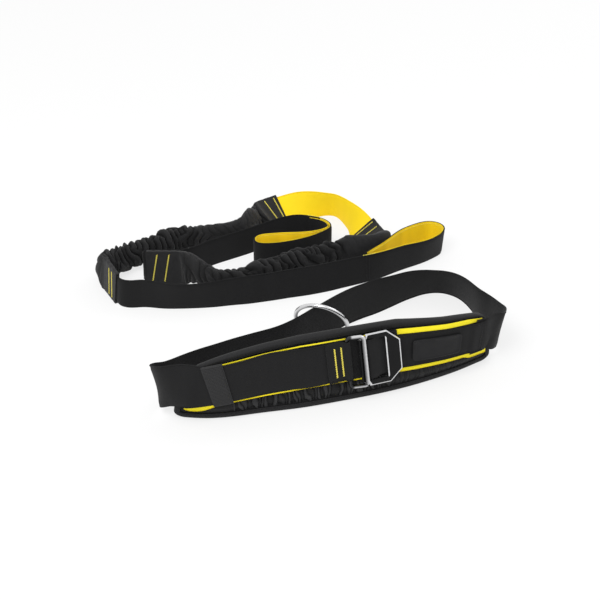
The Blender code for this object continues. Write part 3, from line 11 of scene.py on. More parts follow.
import bpy
import numpy as np
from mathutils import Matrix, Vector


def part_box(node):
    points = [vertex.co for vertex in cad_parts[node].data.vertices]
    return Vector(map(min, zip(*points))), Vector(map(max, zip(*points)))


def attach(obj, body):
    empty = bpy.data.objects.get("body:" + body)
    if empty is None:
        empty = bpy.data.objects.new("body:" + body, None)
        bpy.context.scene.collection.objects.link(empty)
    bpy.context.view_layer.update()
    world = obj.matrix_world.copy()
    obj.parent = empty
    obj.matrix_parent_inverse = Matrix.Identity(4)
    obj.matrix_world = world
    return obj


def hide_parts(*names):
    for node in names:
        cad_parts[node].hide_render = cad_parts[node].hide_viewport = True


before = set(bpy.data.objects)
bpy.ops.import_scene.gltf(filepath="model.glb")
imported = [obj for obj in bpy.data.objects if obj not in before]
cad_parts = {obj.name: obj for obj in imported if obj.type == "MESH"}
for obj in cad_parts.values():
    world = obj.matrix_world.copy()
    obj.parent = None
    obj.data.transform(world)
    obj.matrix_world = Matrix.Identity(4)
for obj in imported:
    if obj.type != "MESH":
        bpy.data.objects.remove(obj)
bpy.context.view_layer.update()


# The long belt strap
# One length of 50 mm woven polyester webbing. It starts under the right webbing on the pad, lies
# in a wide loop on its edge, comes back under the elastic keeper and folds round the frame's bar,
# where its end is sewn down with yellow thread.

PAD_LENGTH = 0.385
PAD_HEIGHT = 0.090
PAD_GAP = 0.0007
FIT_GAP = 0.0003
LAYER_GAP = 0.0005
COVER_THICKNESS = 0.0010
FOAM_THICKNESS = 0.0094
EDGE_THICKNESS = 0.0020
TAPE_WALL = 0.0010
TAPE_SIDE_GAP = 0.0010
SEAT_RAMP = 0.009
WEBBING = 0.0015
STRAP_WIDTH = 0.050
BACKING_WIDTH = 0.054
UP = np.array([0.0, 0.0, 1.0])

# The pad's middle line from above, as shares of the belt's floor length
BELT_LINE_SHARES = [
    (-0.280, -0.480), (-0.206, -0.488), (-0.086, -0.468), (0.000, -0.450), (0.090, -0.424),
    (0.212, -0.382), (0.308, -0.336), (0.372, -0.298), (0.424, -0.262), (0.440, -0.252)]
# Share of the pad's length, and the belt's lean back there in degrees
BELT_LEAN = [
    (0.00, -6.0), (0.105, -4.0), (0.263, 2.0), (0.369, 5.0), (0.670, 5.0), (0.740, 1.0),
    (0.810, -3.5), (0.906, -7.0), (1.00, -8.0)]
# Share of the pad's length, and its top edge as a share of its height
PAD_TOP_SHARES = [
    (0.000, 0.62), (0.058, 0.767), (0.123, 0.889), (0.224, 0.956), (0.345, 0.989), (0.505, 1.0),
    (0.650, 0.985), (0.783, 0.935), (0.897, 0.878), (0.953, 0.81), (1.000, 0.72)]
# Share of the pad's length, and the middle of the webbings as a share of the pad's height
WEBBING_MIDDLE_SHARES = [
    (0.000, 0.470), (0.036, 0.478), (0.089, 0.522), (0.158, 0.561), (0.263, 0.594),
    (0.369, 0.611), (0.560, 0.611), (0.699, 0.594), (0.815, 0.572), (0.906, 0.556),
    (0.975, 0.540)]
# The strap off the pad: its lower edge from above, how high that edge stands, and its lean
LONG_STRAP_SHARES = [
    (0.434, -0.284, 0.048, -7), (0.448, -0.272, 0.040, -8), (0.458, -0.250, 0.031, -9),
    (0.461, -0.224, 0.021, -8), (0.457, -0.190, 0.011, -6), (0.449, -0.150, 0.003, -3),
    (0.438, -0.104, 0.000, 5), (0.426, -0.056, 0.000, 12), (0.410, -0.014, 0.000, 19),
    (0.386, 0.018, 0.000, 24), (0.356, 0.033, 0.000, 25), (0.322, 0.031, 0.000, 24),
    (0.290, 0.016, 0.000, 19), (0.258, -0.006, 0.000, 12), (0.226, -0.032, 0.000, 7),
    (0.196, -0.058, 0.001, 2), (0.166, -0.084, 0.005, 0), (0.132, -0.113, 0.009, 0),
    (0.104, -0.140, 0.012, 0), (0.076, -0.168, 0.0125, 0), (0.048, -0.197, 0.0125, 0),
    (0.020, -0.226, 0.0125, 0), (-0.006, -0.252, 0.011, 0), (-0.036, -0.272, 0.006, 0),
    (-0.072, -0.288, 0.002, 0), (-0.116, -0.306, 0.000, 0), (-0.196, -0.350, 0.000, 0),
    (-0.256, -0.386, 0.000, 0), (-0.292, -0.430, 0.006, -4), (-0.306, -0.458, 0.015, -10),
    (-0.301, -0.486, 0.033, -5), (-0.280, -0.510, 0.046, 5), (-0.256, -0.523, 0.054, 11),
    (-0.232, -0.527, 0.056, 10)]
STRAP_START = 0.900 * PAD_LENGTH
STRAP_LEAVES = 0.942 * PAD_LENGTH
KEEPER_PLACE = 0.130 * PAD_LENGTH
KEEPER_RAMP = 0.024
KEEPER_THICKNESS = 0.0012
KEEPER_ROOM = 0.00195
BUCKLE_PLACE = 0.558 * PAD_LENGTH
HOOK_BAR_U = -0.0016
STRAP_BAR_U = -0.0196
STRAP_BAR_DIAMETER = 0.004
FLAP_LENGTH = 0.024
FLAP_FLAT_U = -0.0258
ROLL_SLOPE = math.tan(math.radians(5.0))
ROLL_EASE_U = -0.045
ROLL_EASE_LENGTH = 0.060
STRAP_RISE = 0.0028
LAYER_ONE = FIT_GAP + WEBBING / 2
LAYER_TWO = LAYER_ONE + WEBBING + FIT_GAP
ROUTE_STEP = 0.001


def natural_spline(knots, rows, places):
    """Natural cubic spline: pieces whose second derivatives agree at the knots and end at zero."""
    knots, rows, places = (np.asarray(a, float) for a in (knots, rows, places))
    gaps, count = np.diff(knots), len(knots)
    system, right = np.eye(count), np.zeros_like(rows)
    for k in range(1, count - 1):
        system[k, k - 1:k + 2] = gaps[k - 1], 2 * (gaps[k - 1] + gaps[k]), gaps[k]
        right[k] = 6 * ((rows[k + 1] - rows[k]) / gaps[k] - (rows[k] - rows[k - 1]) / gaps[k - 1])
    bend = np.linalg.solve(system, right)
    cell = np.clip(np.searchsorted(knots, places) - 1, 0, count - 2)
    shape = (-1,) + (1,) * (rows.ndim - 1)
    gap = gaps[cell].reshape(shape)
    before = (places - knots[cell]).reshape(shape)
    after = gap - before
    return ((bend[cell] * after ** 3 + bend[cell + 1] * before ** 3) / (6 * gap)
            + (rows[cell] / gap - bend[cell] * gap / 6) * after
            + (rows[cell + 1] / gap - bend[cell + 1] * gap / 6) * before)


def unit(vectors):
    return vectors / np.linalg.norm(vectors, axis=-1, keepdims=True)


def chord_lengths(points):
    return np.concatenate([[0.0], np.cumsum(np.linalg.norm(np.diff(points, axis=0), axis=1))])


def smoothstep(value):
    """3 t squared - 2 t cubed, from 0 to 1."""
    value = np.clip(value, 0.0, 1.0)
    return value * value * (3 - 2 * value)


class Route:
    """A line in space with an up vector across the webbing that follows it."""

    def __init__(self, points, ups):
        self.points = np.asarray(points, float)
        self.arc = chord_lengths(self.points)
        ahead = np.vstack([self.points[1:], self.points[-1:]])
        behind = np.vstack([self.points[:1], self.points[:-1]])
        self.along = unit(ahead - behind)
        ups = np.asarray(ups, float)
        self.ups = unit(ups - np.sum(ups * self.along, axis=1)[:, None] * self.along)
        self.sides = np.cross(self.along, self.ups)

    @property
    def length(self):
        return self.arc[-1]

    def read(self, places):
        """Points, up vectors and right-hand side vectors at lengths along the route."""
        def column(values):
            return np.stack([np.interp(places, self.arc, values[:, k]) for k in range(3)], -1)
        return column(self.points), unit(column(self.ups)), unit(column(self.sides))

    def part(self, start, end):
        places = np.linspace(start, end, max(2, round(abs(end - start) / ROUTE_STEP)))
        points, ups, _ = self.read(places)
        return Route(points, ups)

    def offset(self, distance):
        return Route(self.points + self.sides * distance, self.ups)

    def nearest(self, spot):
        away = np.linalg.norm(self.points[:, :2] - spot, axis=1)
        return self.arc[int(np.argmin(away))]


def splined(rows):
    """A route on the spline through rows of point and up vector."""
    rows = np.asarray(rows, float)
    knots = chord_lengths(rows[:, :3])
    fine = natural_spline(knots, rows, np.linspace(0.0, knots[-1], round(knots[-1] / ROUTE_STEP)))
    return Route(fine[:, :3], fine[:, 3:])


def leaning(lower, lean_degrees):
    """Up vectors of a webbing: upright, turned by its lean to the left of its travel."""
    flat = np.array(lower, float)
    flat[:, 2] = 0.0
    knots = chord_lengths(flat)
    ahead = natural_spline(knots, flat, np.minimum(knots + ROUTE_STEP, knots[-1]))
    behind = natural_spline(knots, flat, np.maximum(knots - ROUTE_STEP, 0.0))
    along = unit(ahead - behind)
    left = np.stack([-along[:, 1], along[:, 0], 0 * along[:, 0]], -1)
    lean = np.radians(np.asarray(lean_degrees, float))[:, None]
    return np.cos(lean) * UP + np.sin(lean) * left


def band_rows(lower, lean_degrees, width):
    ups = leaning(lower, lean_degrees)
    return np.hstack([np.asarray(lower, float) + ups * width / 2, ups])


def eased_table(rows, share):
    rows = np.asarray(rows, float)
    flat = np.clip(np.ravel(share), 0.0, 1.0)
    return natural_spline(rows[:, 0], rows[:, 1], flat).reshape(np.shape(share))


def belt_line():
    """The pad's middle line, scaled so that it is as long as the pad, and that scale."""
    rows = np.array(BELT_LINE_SHARES)
    knots = chord_lengths(rows)
    fine = natural_spline(knots, rows, np.linspace(0.0, knots[-1], round(PAD_LENGTH / ROUTE_STEP)))
    span = PAD_LENGTH / chord_lengths(fine)[-1]
    points = np.hstack([fine * span, np.zeros((len(fine), 1))])
    return Route(points, np.tile(UP, (len(fine), 1))), span


BELT, BELT_SPAN = belt_line()


def on_belt(s, w, z):
    """Points from belt coordinates: s along the pad, w outward less z times the lean, z up."""
    s, w, z = np.broadcast_arrays(np.asarray(s, float), w, z)
    flat = s.ravel()
    base, _, outward = BELT.read(flat)
    over = flat - np.clip(flat, 0.0, BELT.length)
    base = base + over[:, None] * np.cross(UP, outward)
    rows = np.array(BELT_LEAN)
    lean = np.tan(np.radians(np.interp(flat / PAD_LENGTH, rows[:, 0], rows[:, 1])))
    out = base + outward * (w.ravel() - z.ravel() * lean)[:, None]
    out[:, 2] = z.ravel()
    return out.reshape(s.shape + (3,))


def belt_up(s):
    return unit(on_belt(s, 0.0, PAD_HEIGHT) - on_belt(s, 0.0, 0.0))


def pad_top(s):
    return PAD_HEIGHT * eased_table(PAD_TOP_SHARES, np.asarray(s) / PAD_LENGTH)


def webbing_middle(s):
    return PAD_HEIGHT * eased_table(WEBBING_MIDDLE_SHARES, np.asarray(s) / PAD_LENGTH)


TAPE_HALF = EDGE_THICKNESS / 2 + PAD_GAP + COVER_THICKNESS + TAPE_SIDE_GAP + TAPE_WALL
PAD_FRONT = FOAM_THICKNESS / 2 + PAD_GAP + COVER_THICKNESS


def layer(s, number):
    """Middle of a webbing layer on the pad's face, which falls to the edge tape at both ends."""
    near = np.minimum(np.asarray(s), PAD_LENGTH - np.asarray(s))
    rise = smoothstep((near - SEAT_RAMP) / SEAT_RAMP)
    face = TAPE_HALF + PAD_GAP + (PAD_FRONT - TAPE_HALF) * rise
    return face + LAYER_GAP + WEBBING / 2 + number * (WEBBING + LAYER_GAP)


def backing_face(s):
    return layer(s, 0) + WEBBING / 2


def buckle_rise(u):
    """How far the buckle and the strap's end lie above the webbings' middle. They are turned
    about the frame's middle, and the turn eases out to the left along the strap."""
    u = np.asarray(u, float)
    turned = 1 - smoothstep((ROLL_EASE_U - u) / ROLL_EASE_LENGTH)
    return ROLL_SLOPE * (u - (HOOK_BAR_U + STRAP_BAR_U) / 2) * turned


def rolled_up(s):
    """The belt's up direction at each s, turned with the buckle."""
    tangent = unit(on_belt(s + ROUTE_STEP, 0.0, 0.0) - on_belt(s - ROUTE_STEP, 0.0, 0.0))
    u = s - BUCKLE_PLACE
    slope = (buckle_rise(u + ROUTE_STEP) - buckle_rise(u - ROUTE_STEP)) / (2 * ROUTE_STEP)
    return unit(belt_up(s) - slope[..., None] * tangent)


def profile_route(profile, rise=0.0):
    """Points and up vectors from rows of u from the buckle and height on the backing webbing."""
    profile = np.asarray(profile)
    s = BUCKLE_PLACE + profile[:, 0]
    z = webbing_middle(s) + buckle_rise(profile[:, 0]) + rise
    return on_belt(s, backing_face(s) + profile[:, 1], z), rolled_up(s)


def arc_profile(centre, radius, start, end):
    angles = np.radians(np.linspace(start, end, 17))
    return [(centre[0] + radius * math.cos(a), centre[1] + radius * math.sin(a)) for a in angles]


def slope_profile(u0, h0, u1, h1):
    return [(u0 + (u1 - u0) * k, h0 + (h1 - h0) * float(smoothstep(k)))
            for k in np.linspace(0.0, 1.0, 9)[1:-1]]


def long_strap_route():
    """On the pad, off it through the layout's rows, back on to it, and round the frame's bar."""
    s = np.linspace(STRAP_START, STRAP_LEAVES, 6)
    first = np.hstack([on_belt(s, layer(s, 1), webbing_middle(s)), belt_up(s)])
    shares = np.array(LONG_STRAP_SHARES, float)
    free = band_rows(shares[:, :3] * BELT_SPAN, shares[:, 3], STRAP_WIDTH)
    s = np.linspace(KEEPER_PLACE - KEEPER_RAMP / 4,
                    BUCKLE_PLACE + STRAP_BAR_U - 2 * FLAP_LENGTH, 12)
    lift = KEEPER_ROOM * (1 - smoothstep((s - KEEPER_PLACE - KEEPER_RAMP) / KEEPER_RAMP))
    z = webbing_middle(s) + buckle_rise(s - BUCKLE_PLACE) + STRAP_RISE
    last = np.hstack([on_belt(s, backing_face(s) + LAYER_ONE + lift, z), belt_up(s)])
    free_part = splined(np.vstack([first, free, last]))
    radius = STRAP_BAR_DIAMETER / 2 + FIT_GAP + WEBBING / 2
    centre = (STRAP_BAR_U, LAYER_ONE + radius)
    lay_flat = STRAP_BAR_U - FLAP_LENGTH / 2
    flap_end = STRAP_BAR_U - FLAP_LENGTH
    profile = [(flap_end - FLAP_LENGTH / 2, LAYER_ONE), (lay_flat, LAYER_ONE)]
    profile += arc_profile(centre, radius, -90.0, 90.0)
    profile += slope_profile(centre[0] - radius / 4, centre[1] + radius, FLAP_FLAT_U, LAYER_TWO)
    profile += [(FLAP_FLAT_U, LAYER_TWO), (lay_flat, LAYER_TWO), (flap_end, LAYER_TWO)]
    points, ups = profile_route(profile, STRAP_RISE)
    return Route(np.vstack([free_part.points, points]), np.vstack([free_part.ups, ups]))


strap_route = long_strap_route()

# The ring's middle is a point of this route, so its packed box says where the layout lies
RING_PLACE_SHARES = (0.0525, -0.196)
RING_WIRE = 0.005
RING_RADIUS = 0.058 / 2 + RING_WIRE / 2
RING_TURN, RING_TILT = math.radians(74.0), math.radians(24.0)
ring_centre = strap_route.read([strap_route.nearest(np.array(RING_PLACE_SHARES) * BELT_SPAN)])[0][0]
ring_centre[2] = RING_RADIUS * math.cos(RING_TILT) + RING_WIRE / 2
ring_low, ring_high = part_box("glide_ring")
LAYOUT_SHIFT = (np.array(ring_low) + np.array(ring_high)) / 2 - ring_centre


class Value:
    """A shader socket in an expression: each operator on it adds one Math node."""

    def __init__(self, paint, socket):
        self.paint = paint
        self.socket = socket

    def math(self, operation, *others):
        values = dict(enumerate((self,) + others))
        return self.paint.node("ShaderNodeMath", {"operation": operation}, values)

    def wave(self, pitch):
        """A sine that repeats at each pitch."""
        return (self * (2 * math.pi / pitch)).math("SINE")

    def __add__(self, other):
        return self.math("ADD", other)

    def __sub__(self, other):
        return self.math("SUBTRACT", other)

    def __mul__(self, other):
        return self.math("MULTIPLY", other)

    def __truediv__(self, other):
        return self.math("DIVIDE", other)

    __radd__ = __add__
    __rmul__ = __mul__


class Paint:
    """A material in the making: its nodes, and the plain values of its shader's own sockets."""

    def __init__(self, name, **sockets):
        self.material = bpy.data.materials.new(name)
        self.material.use_nodes = True
        self.tree = self.material.node_tree
        self.shader = self.tree.nodes["Principled BSDF"]
        for socket, value in sockets.items():
            self.shader.inputs[socket.replace("_", " ")].default_value = value

    def node(self, kind, settings=(), inputs=(), output=0):
        """A node of a type, with its settings and then the values or links of its sockets."""
        made = self.tree.nodes.new(kind)
        for key, value in dict(settings).items():
            if key == "stops":
                for k, (spot, grey) in enumerate(value):
                    stop = made.color_ramp.elements[k] if k < 2 else \
                        made.color_ramp.elements.new(spot)
                    stop.position = spot
                    stop.color = (grey, grey, grey, 1.0)
            else:
                setattr(made, key, value)
        for key, value in dict(inputs).items():
            self.feed(made.inputs[key], value)
        return Value(self, made.outputs[output])

    def feed(self, socket, value):
        if isinstance(value, Value):
            self.tree.links.new(value.socket, socket)
        else:
            socket.default_value = value

    def set(self, name, value):
        self.feed(self.shader.inputs[name], value)

    def place(self, scale=(1.0, 1.0, 1.0)):
        """Object coordinates, stretched."""
        spot = self.node("ShaderNodeTexCoord", output="Object")
        return self.node("ShaderNodeMapping", {}, {"Vector": spot, "Scale": scale})

    def map_axis(self, name, axis):
        uv = self.node("ShaderNodeUVMap", {"uv_map": name})
        return self.node("ShaderNodeSeparateXYZ", {}, {0: uv}, axis)

    def weave_map(self):
        """The piece's own map: metres along it and across it."""
        return self.map_axis("weave", 0), self.map_axis("weave", 1)

    def crest(self):
        """How high a point lies on its fold, from 0 in the valley to 1 on the crest."""
        return self.map_axis("crest", 0)

    def noise(self, where, scale, detail=2.0, rough=0.5):
        return self.node("ShaderNodeTexNoise", {}, {
            "Vector": where, "Scale": scale, "Detail": detail, "Roughness": rough}, "Fac")

    def ramp(self, value, *stops):
        return self.node("ShaderNodeValToRGB", {"stops": stops}, {0: value})

    def mix(self, factor, first, second):
        return self.node("ShaderNodeMix", {"data_type": "RGBA"}, {0: factor, 6: first, 7: second},
                         2)

    def bump(self, height, distance, strength=1.0):
        self.set("Normal", self.node("ShaderNodeBump", {}, {
            "Height": height, "Distance": distance, "Strength": strength}, "Normal"))


def shade(colour, factor):
    return tuple(c * factor for c in colour[:3]) + (1.0,)


BLACK_WEBBING_COLOUR = (0.0082, 0.0082, 0.0086, 1.0)
YELLOW_COLOUR = (0.955, 0.690, 0.012, 1.0)
YARN_PITCH = 0.0016
FLOAT_LENGTH = 0.0028
# Half the black middle of the two-tone webbing, and what it gains under the strap and the window
BLACK_HALF = 0.0213
BLACK_UNDER_STRAP = 0.0045
BLACK_IN_WINDOW = 0.0020
STRAP_COVERS_TO = BUCKLE_PLACE + 0.036
WINDOW_PLACE = BUCKLE_PLACE + 0.022
WINDOW_REACH = 0.014


def webbing_paint(name, colour, contrast, roughness, two_tone=False):
    """Woven webbing: yarn columns side by side, each dipping under the weft half a float later
    than its neighbour. Height = |sin across| x (0.65 + 0.35 sin(along + half a turn per column)).
    The two-tone one has a black middle, which is wider under the long strap and in the window.
    """
    paint = Paint(name, Sheen_Weight=0.05, Sheen_Roughness=0.5, Specular_IOR_Level=0.14)
    along, across = paint.weave_map()
    columns = across / YARN_PITCH
    ridge = (columns * math.pi).math("SINE").math("ABSOLUTE")
    turn = columns.math("FLOOR") * math.pi + along * (2 * math.pi / FLOAT_LENGTH)
    height = ridge * (0.65 + 0.35 * turn.math("SINE"))
    cloudy = paint.noise(paint.place((1.0, 1.0, 0.12)), 60.0, 3.0, 0.55)
    fine = paint.noise(paint.place(), 900.0, 2.0, 0.6)
    tone = height * 0.38 + cloudy * 0.55 + fine * 0.25
    woven = paint.mix(tone, shade(colour, 1 - contrast), shade(colour, 1 + contrast))
    if two_tone:
        under_strap = along.math("LESS_THAN", STRAP_COVERS_TO)
        in_window = (along - WINDOW_PLACE).math("ABSOLUTE").math("LESS_THAN", WINDOW_REACH)
        black_half = BLACK_HALF + BLACK_UNDER_STRAP * under_strap + BLACK_IN_WINDOW * in_window
        inside = across.math("ABSOLUTE").math("LESS_THAN", black_half)
        woven = paint.mix(inside, woven, BLACK_WEBBING_COLOUR)
    paint.set("Base Color", woven)
    paint.set("Roughness", roughness + 0.12 * fine)
    paint.bump(height + 0.25 * fine, 0.00022, 0.7)
    return paint.material


black_webbing = webbing_paint("black_webbing", BLACK_WEBBING_COLOUR, 0.34, 0.66)
yellow_webbing = webbing_paint("yellow_webbing", YELLOW_COLOUR, 0.07, 0.62)
# The lining is the same yellow webbing, painted darker and with more contrast: painted shade inside
# the hand loops.
painted_shade_lining_webbing = webbing_paint("painted_shade_lining_webbing", (0.78, 0.575, 0.012, 1.0), 0.55, 0.66)
two_tone_webbing = webbing_paint("two_tone_webbing", (0.88, 0.75, 0.022, 1.0), 0.07, 0.62, True)


def loose_mesh(name, points, faces, paints, uv=None, kinds=None, sharp=40.0, crest=None):
    """A mesh object at the origin from layout points, with a map from one (u, v) per vertex and,
    for folded cloth, a second one from each vertex's height on its fold."""
    points = np.asarray(points, float).reshape(-1, 3) + LAYOUT_SHIFT
    mesh = bpy.data.meshes.new(name)
    mesh.from_pydata(points.tolist(), [], faces)
    for paint in paints:
        mesh.materials.append(paint)
    if kinds is not None:
        mesh.polygons.foreach_set("material_index", np.asarray(kinds, np.int32))
    corners = np.zeros(len(mesh.loops), np.int32)
    mesh.loops.foreach_get("vertex_index", corners)
    maps = {"weave": uv, "crest": None if crest is None else np.stack([crest, crest], -1)}
    for key, values in maps.items():
        if values is not None:
            spread = np.asarray(values, float).reshape(-1, 2)[corners]
            mesh.uv_layers.new(name=key).data.foreach_set("uv", spread.ravel())
    mesh.shade_smooth()
    mesh.set_sharp_from_angle(angle=math.radians(sharp))
    made = bpy.data.objects.new(name, mesh)
    bpy.context.scene.collection.objects.link(made)
    return made


def quads(rows, columns, start=0, closed_rows=False, closed_columns=True, flipped=False):
    """Faces between a grid's neighbours; a closed side joins its last to its first. Seen with the
    rows upward and the columns to the left, they look at the viewer, or away if flipped."""
    r = np.arange(rows if closed_rows else rows - 1)[:, None]
    c = np.arange(columns if closed_columns else columns - 1)[None, :]
    r1, c1 = (r + 1) % rows, (c + 1) % columns
    grid = [start + a * columns + b for a, b in ((r, c), (r1, c), (r1, c1), (r, c1))]
    faces = np.stack(np.broadcast_arrays(*grid), -1).reshape(-1, 4)
    return (faces[:, ::-1] if flipped else faces).tolist()


def ring_faces(count, sides, start=0, flipped=False):
    """Faces of a solid through rings, with flat ends."""
    last = start + (count - 1) * sides
    ends = [list(range(start, start + sides)), list(range(last + sides - 1, last - 1, -1))]
    return quads(count, sides, start, flipped=flipped) + [
        end[::-1] if flipped else end for end in ends]


def rings_mesh(name, rings, uv, paint, sharp=40.0, flipped=False):
    faces = ring_faces(*rings.shape[:2], flipped=flipped)
    return loose_mesh(name, rings, faces, [paint], uv, sharp=sharp)


def uv_grid(along, around):
    """A map of lengths along a grid's rows and round its columns."""
    return np.stack(np.broadcast_arrays(along[:, None], around[None, :]), -1)


def dress(made, body, slot, *nodes):
    """The body that a piece rides on and the solids that it replaces, which are hidden. The
    material slot is not used.
    """
    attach(made, body)
    if nodes:
        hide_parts(*nodes)


EDGE_POINTS = 5
FACE_POINTS = 9
FACE_THINNESS = 0.94


def webbing_section(width, thickness):
    """Outline of a webbing's section as (out, across), a little thinner in the middle. Over the
    outer tenth of the width one face falls to a groove and a round bead, the other to the edge."""
    half = thickness / 2
    tip = width / 2 - half
    bead = [(half * math.cos(a), tip + half * math.sin(a))
            for a in np.radians(np.linspace(-90.0, 90.0, EDGE_POINTS))]
    across = np.linspace(tip, -tip, FACE_POINTS + 2)[1:-1]
    thin = FACE_THINNESS + (1 - FACE_THINNESS) * np.abs(across / tip) ** 6
    half_outline = bead + [(-half * t, y) for t, y in zip(thin, across)]
    return np.array(half_outline + [(-x, -y) for x, y in half_outline])


def webbing_along(name, route, width, thickness, paint, step=0.0025, wander=0.00012):
    """A webbing's section carried along its route:
    point = route + side x out + up x across, the edges wandering a little as woven ones do."""
    places = np.linspace(0.0, route.length, max(4, round(route.length / step)))
    points, ups, sides = route.read(places)
    out, across = webbing_section(width, thickness).T
    wave = np.sin(places * 173.0) + np.sin(places * 71.0 + 1.3)
    reach = across[None, :] + wander * wave[:, None] * (2 * across / width)[None, :] ** 3 / 2
    rings = points[:, None] + out[None, :, None] * sides[:, None] + reach[..., None] * ups[:, None]
    return rings_mesh(name, rings, uv_grid(places, across), paint)


long_strap = webbing_along("long_strap_webbing", strap_route, STRAP_WIDTH, WEBBING, black_webbing)
dress(long_strap, "belt", "black_webbing", "long_belt_strap")


# Thread
# Every seam is a lockstitch of thick bonded thread. Each stitch shows as a short rounded bar that
# is half sunk in the cloth, and the seams that hold the webbings are yellow.

THREAD_RADIUS = 0.00042
FLAP_THREAD = 0.00045
STITCH_PITCH = 0.0030
STITCH_LENGTH = 0.0024


def grained_paint(name, dark, light, cloudy, fine, rough, bump, fine_gloss=False, **sockets):
    """A plain skin. Cloudy and fine are the scale and detail of two noises: the first changes the
    colour and, unless the gloss is fine too, the gloss; the second is the height of the bump."""
    paint = Paint(name, **sockets)
    slow = paint.noise(paint.place(), *cloudy)
    grain = paint.noise(paint.place(), *fine)
    paint.set("Base Color", paint.mix(slow, dark, light))
    paint.set("Roughness", rough[0] + rough[1] * (grain if fine_gloss else slow))
    paint.bump(grain, *bump)
    return paint.material


def thread_paint(name, colour, specular=0.4):
    """Twisted thread with a fine fibre grain."""
    fibres = (1400.0, 2.0)
    return grained_paint(name, shade(colour, 0.78), shade(colour, 1.12), fibres, fibres,
                         (0.5, 0.15), (0.0001, 0.6), Specular_IOR_Level=specular, Sheen_Weight=0.1)


yellow_thread = thread_paint("yellow_thread", (0.86, 0.74, 0.10, 1.0))
black_thread = thread_paint("black_thread", (0.010, 0.010, 0.011, 1.0), 0.15)


def full_turn(count):
    """Angles of a ring's points."""
    return 2 * math.pi * np.arange(count) / count


def seam(points, outward):
    """One stitch after another along a line: middles, directions and outward vectors."""
    arc = chord_lengths(points)
    count = max(1, round(arc[-1] / STITCH_PITCH))
    middles = (np.arange(count) + 0.5) * arc[-1] / count
    outward = np.broadcast_to(outward, points.shape)

    def at(values, places):
        return np.stack([np.interp(places, arc, values[:, k]) for k in range(3)], -1)
    ahead = at(points, np.minimum(middles + STITCH_LENGTH / 2, arc[-1]))
    behind = at(points, np.maximum(middles - STITCH_LENGTH / 2, 0.0))
    return at(points, middles), unit(ahead - behind), unit(at(outward, middles))


def thread(name, seams, paint, body, slot, radius=THREAD_RADIUS):
    """Stitches as bars: radius r(t) = sqrt(1 - t to the 4th) along the bar, arched outward."""
    spans = np.array([-1.0, -0.86, -0.5, 0.0, 0.5, 0.86, 1.0])
    girth = np.sqrt(np.clip(1 - spans ** 4, 0.02, 1.0)) * radius
    arch = (1 - spans ** 2) * radius * 0.7
    turn = full_turn(8)
    rings, faces = [], []
    for middles, along, out in seams:
        across = unit(np.cross(along, out))
        centre = middles[:, None] + along[:, None] * (spans * STITCH_LENGTH / 2)[None, :, None] \
            + out[:, None] * arch[None, :, None]
        ring = girth[:, None, None] * (np.cos(turn)[None, :, None] * across[:, None, None]
                                       + np.sin(turn)[None, :, None] * out[:, None, None])
        rings.append((centre[:, :, None] + ring).reshape(-1, 3))
    points = np.vstack(rings)
    block = len(spans) * len(turn)
    for k in range(len(points) // block):
        faces += ring_faces(len(spans), len(turn), k * block)
    dress(loose_mesh(name, points, faces, [paint]), body, slot)


def belt_seam(s0, z0, s1, z1, w):
    """A straight seam on the belt from one (s, z) to another at a height w of s."""
    share = np.linspace(0.0, 1.0, 40)
    s = s0 + (s1 - s0) * share
    z = z0 + (z1 - z0) * share
    points = on_belt(s, w(s), z)
    along = unit(np.gradient(points, axis=0))
    out = unit(on_belt(s, w(s) + WEBBING, z) - points)
    return seam(points, unit(out - np.sum(out * along, axis=1)[:, None] * along))


def zigzag(middle, up, along, out, half_length, half_width, pitch=0.00115):
    """A dense zigzag seam: bars that run from one side of the row to the other and back."""
    count = 2 * round(half_length / pitch)
    climb = (np.arange(count) + 0.5) / count * 2 - 1
    slant = np.where(np.arange(count) % 2 == 0, 1.0, -1.0)[:, None]
    middles = middle + climb[:, None] * half_length * up
    bars = unit(slant * along * half_width * 2 + up * pitch)
    return middles, bars, np.broadcast_to(out, bars.shape)


FLAP_SEAM_US = (-0.0340, -0.0264)
FLAP_SEAM_HALF_WIDTH = 0.0009
flap_seams = []
for u in FLAP_SEAM_US:
    points, ups = profile_route([(u, LAYER_TWO + WEBBING / 2)] * 2, STRAP_RISE)
    ahead, _ = profile_route([(u + ROUTE_STEP, LAYER_TWO + WEBBING / 2)] * 2, STRAP_RISE)
    forward = unit(ahead[0] - points[0])
    flap_seams.append(zigzag(points[0], ups[0], forward, np.cross(forward, ups[0]),
                             0.37 * STRAP_WIDTH, FLAP_SEAM_HALF_WIDTH))
thread("flap_stitches", flap_seams, yellow_thread, "belt", "yellow_webbing", FLAP_THREAD)


# The waist pad
# Foam between a thin nylon front and a spacer mesh back. Under the webbings the front is gathered
# into small upright pleats, because it is cut longer than the webbing that is sewn on it.

PAD_END_SLANT = 0.016
PAD_LOWER_RADIUS = 0.014
PAD_UPPER_RADIUS = 0.017
TAPE_DEPTH = 0.0075
CROWN_START = TAPE_DEPTH - 0.002
CROWN_RAMP = 0.014
PAD_BULGE = 0.0012
RIM_INSET = 0.0022
PLEAT_PITCH = 0.0046
PLEAT_DEPTH = 0.0026
# Where the pleats begin, where they weaken behind the buckle and how far before the end they stop
PLEATS_START = 0.058
PLEATS_WEAKEN = 0.262
PLEATS_STOP = 0.03
WEAK_PLEATS = 0.35
EDGE_STATIONS = 90
PAD_COLUMNS = 620
PAD_ROWS = 76
NYLON_PITCH = 0.0011


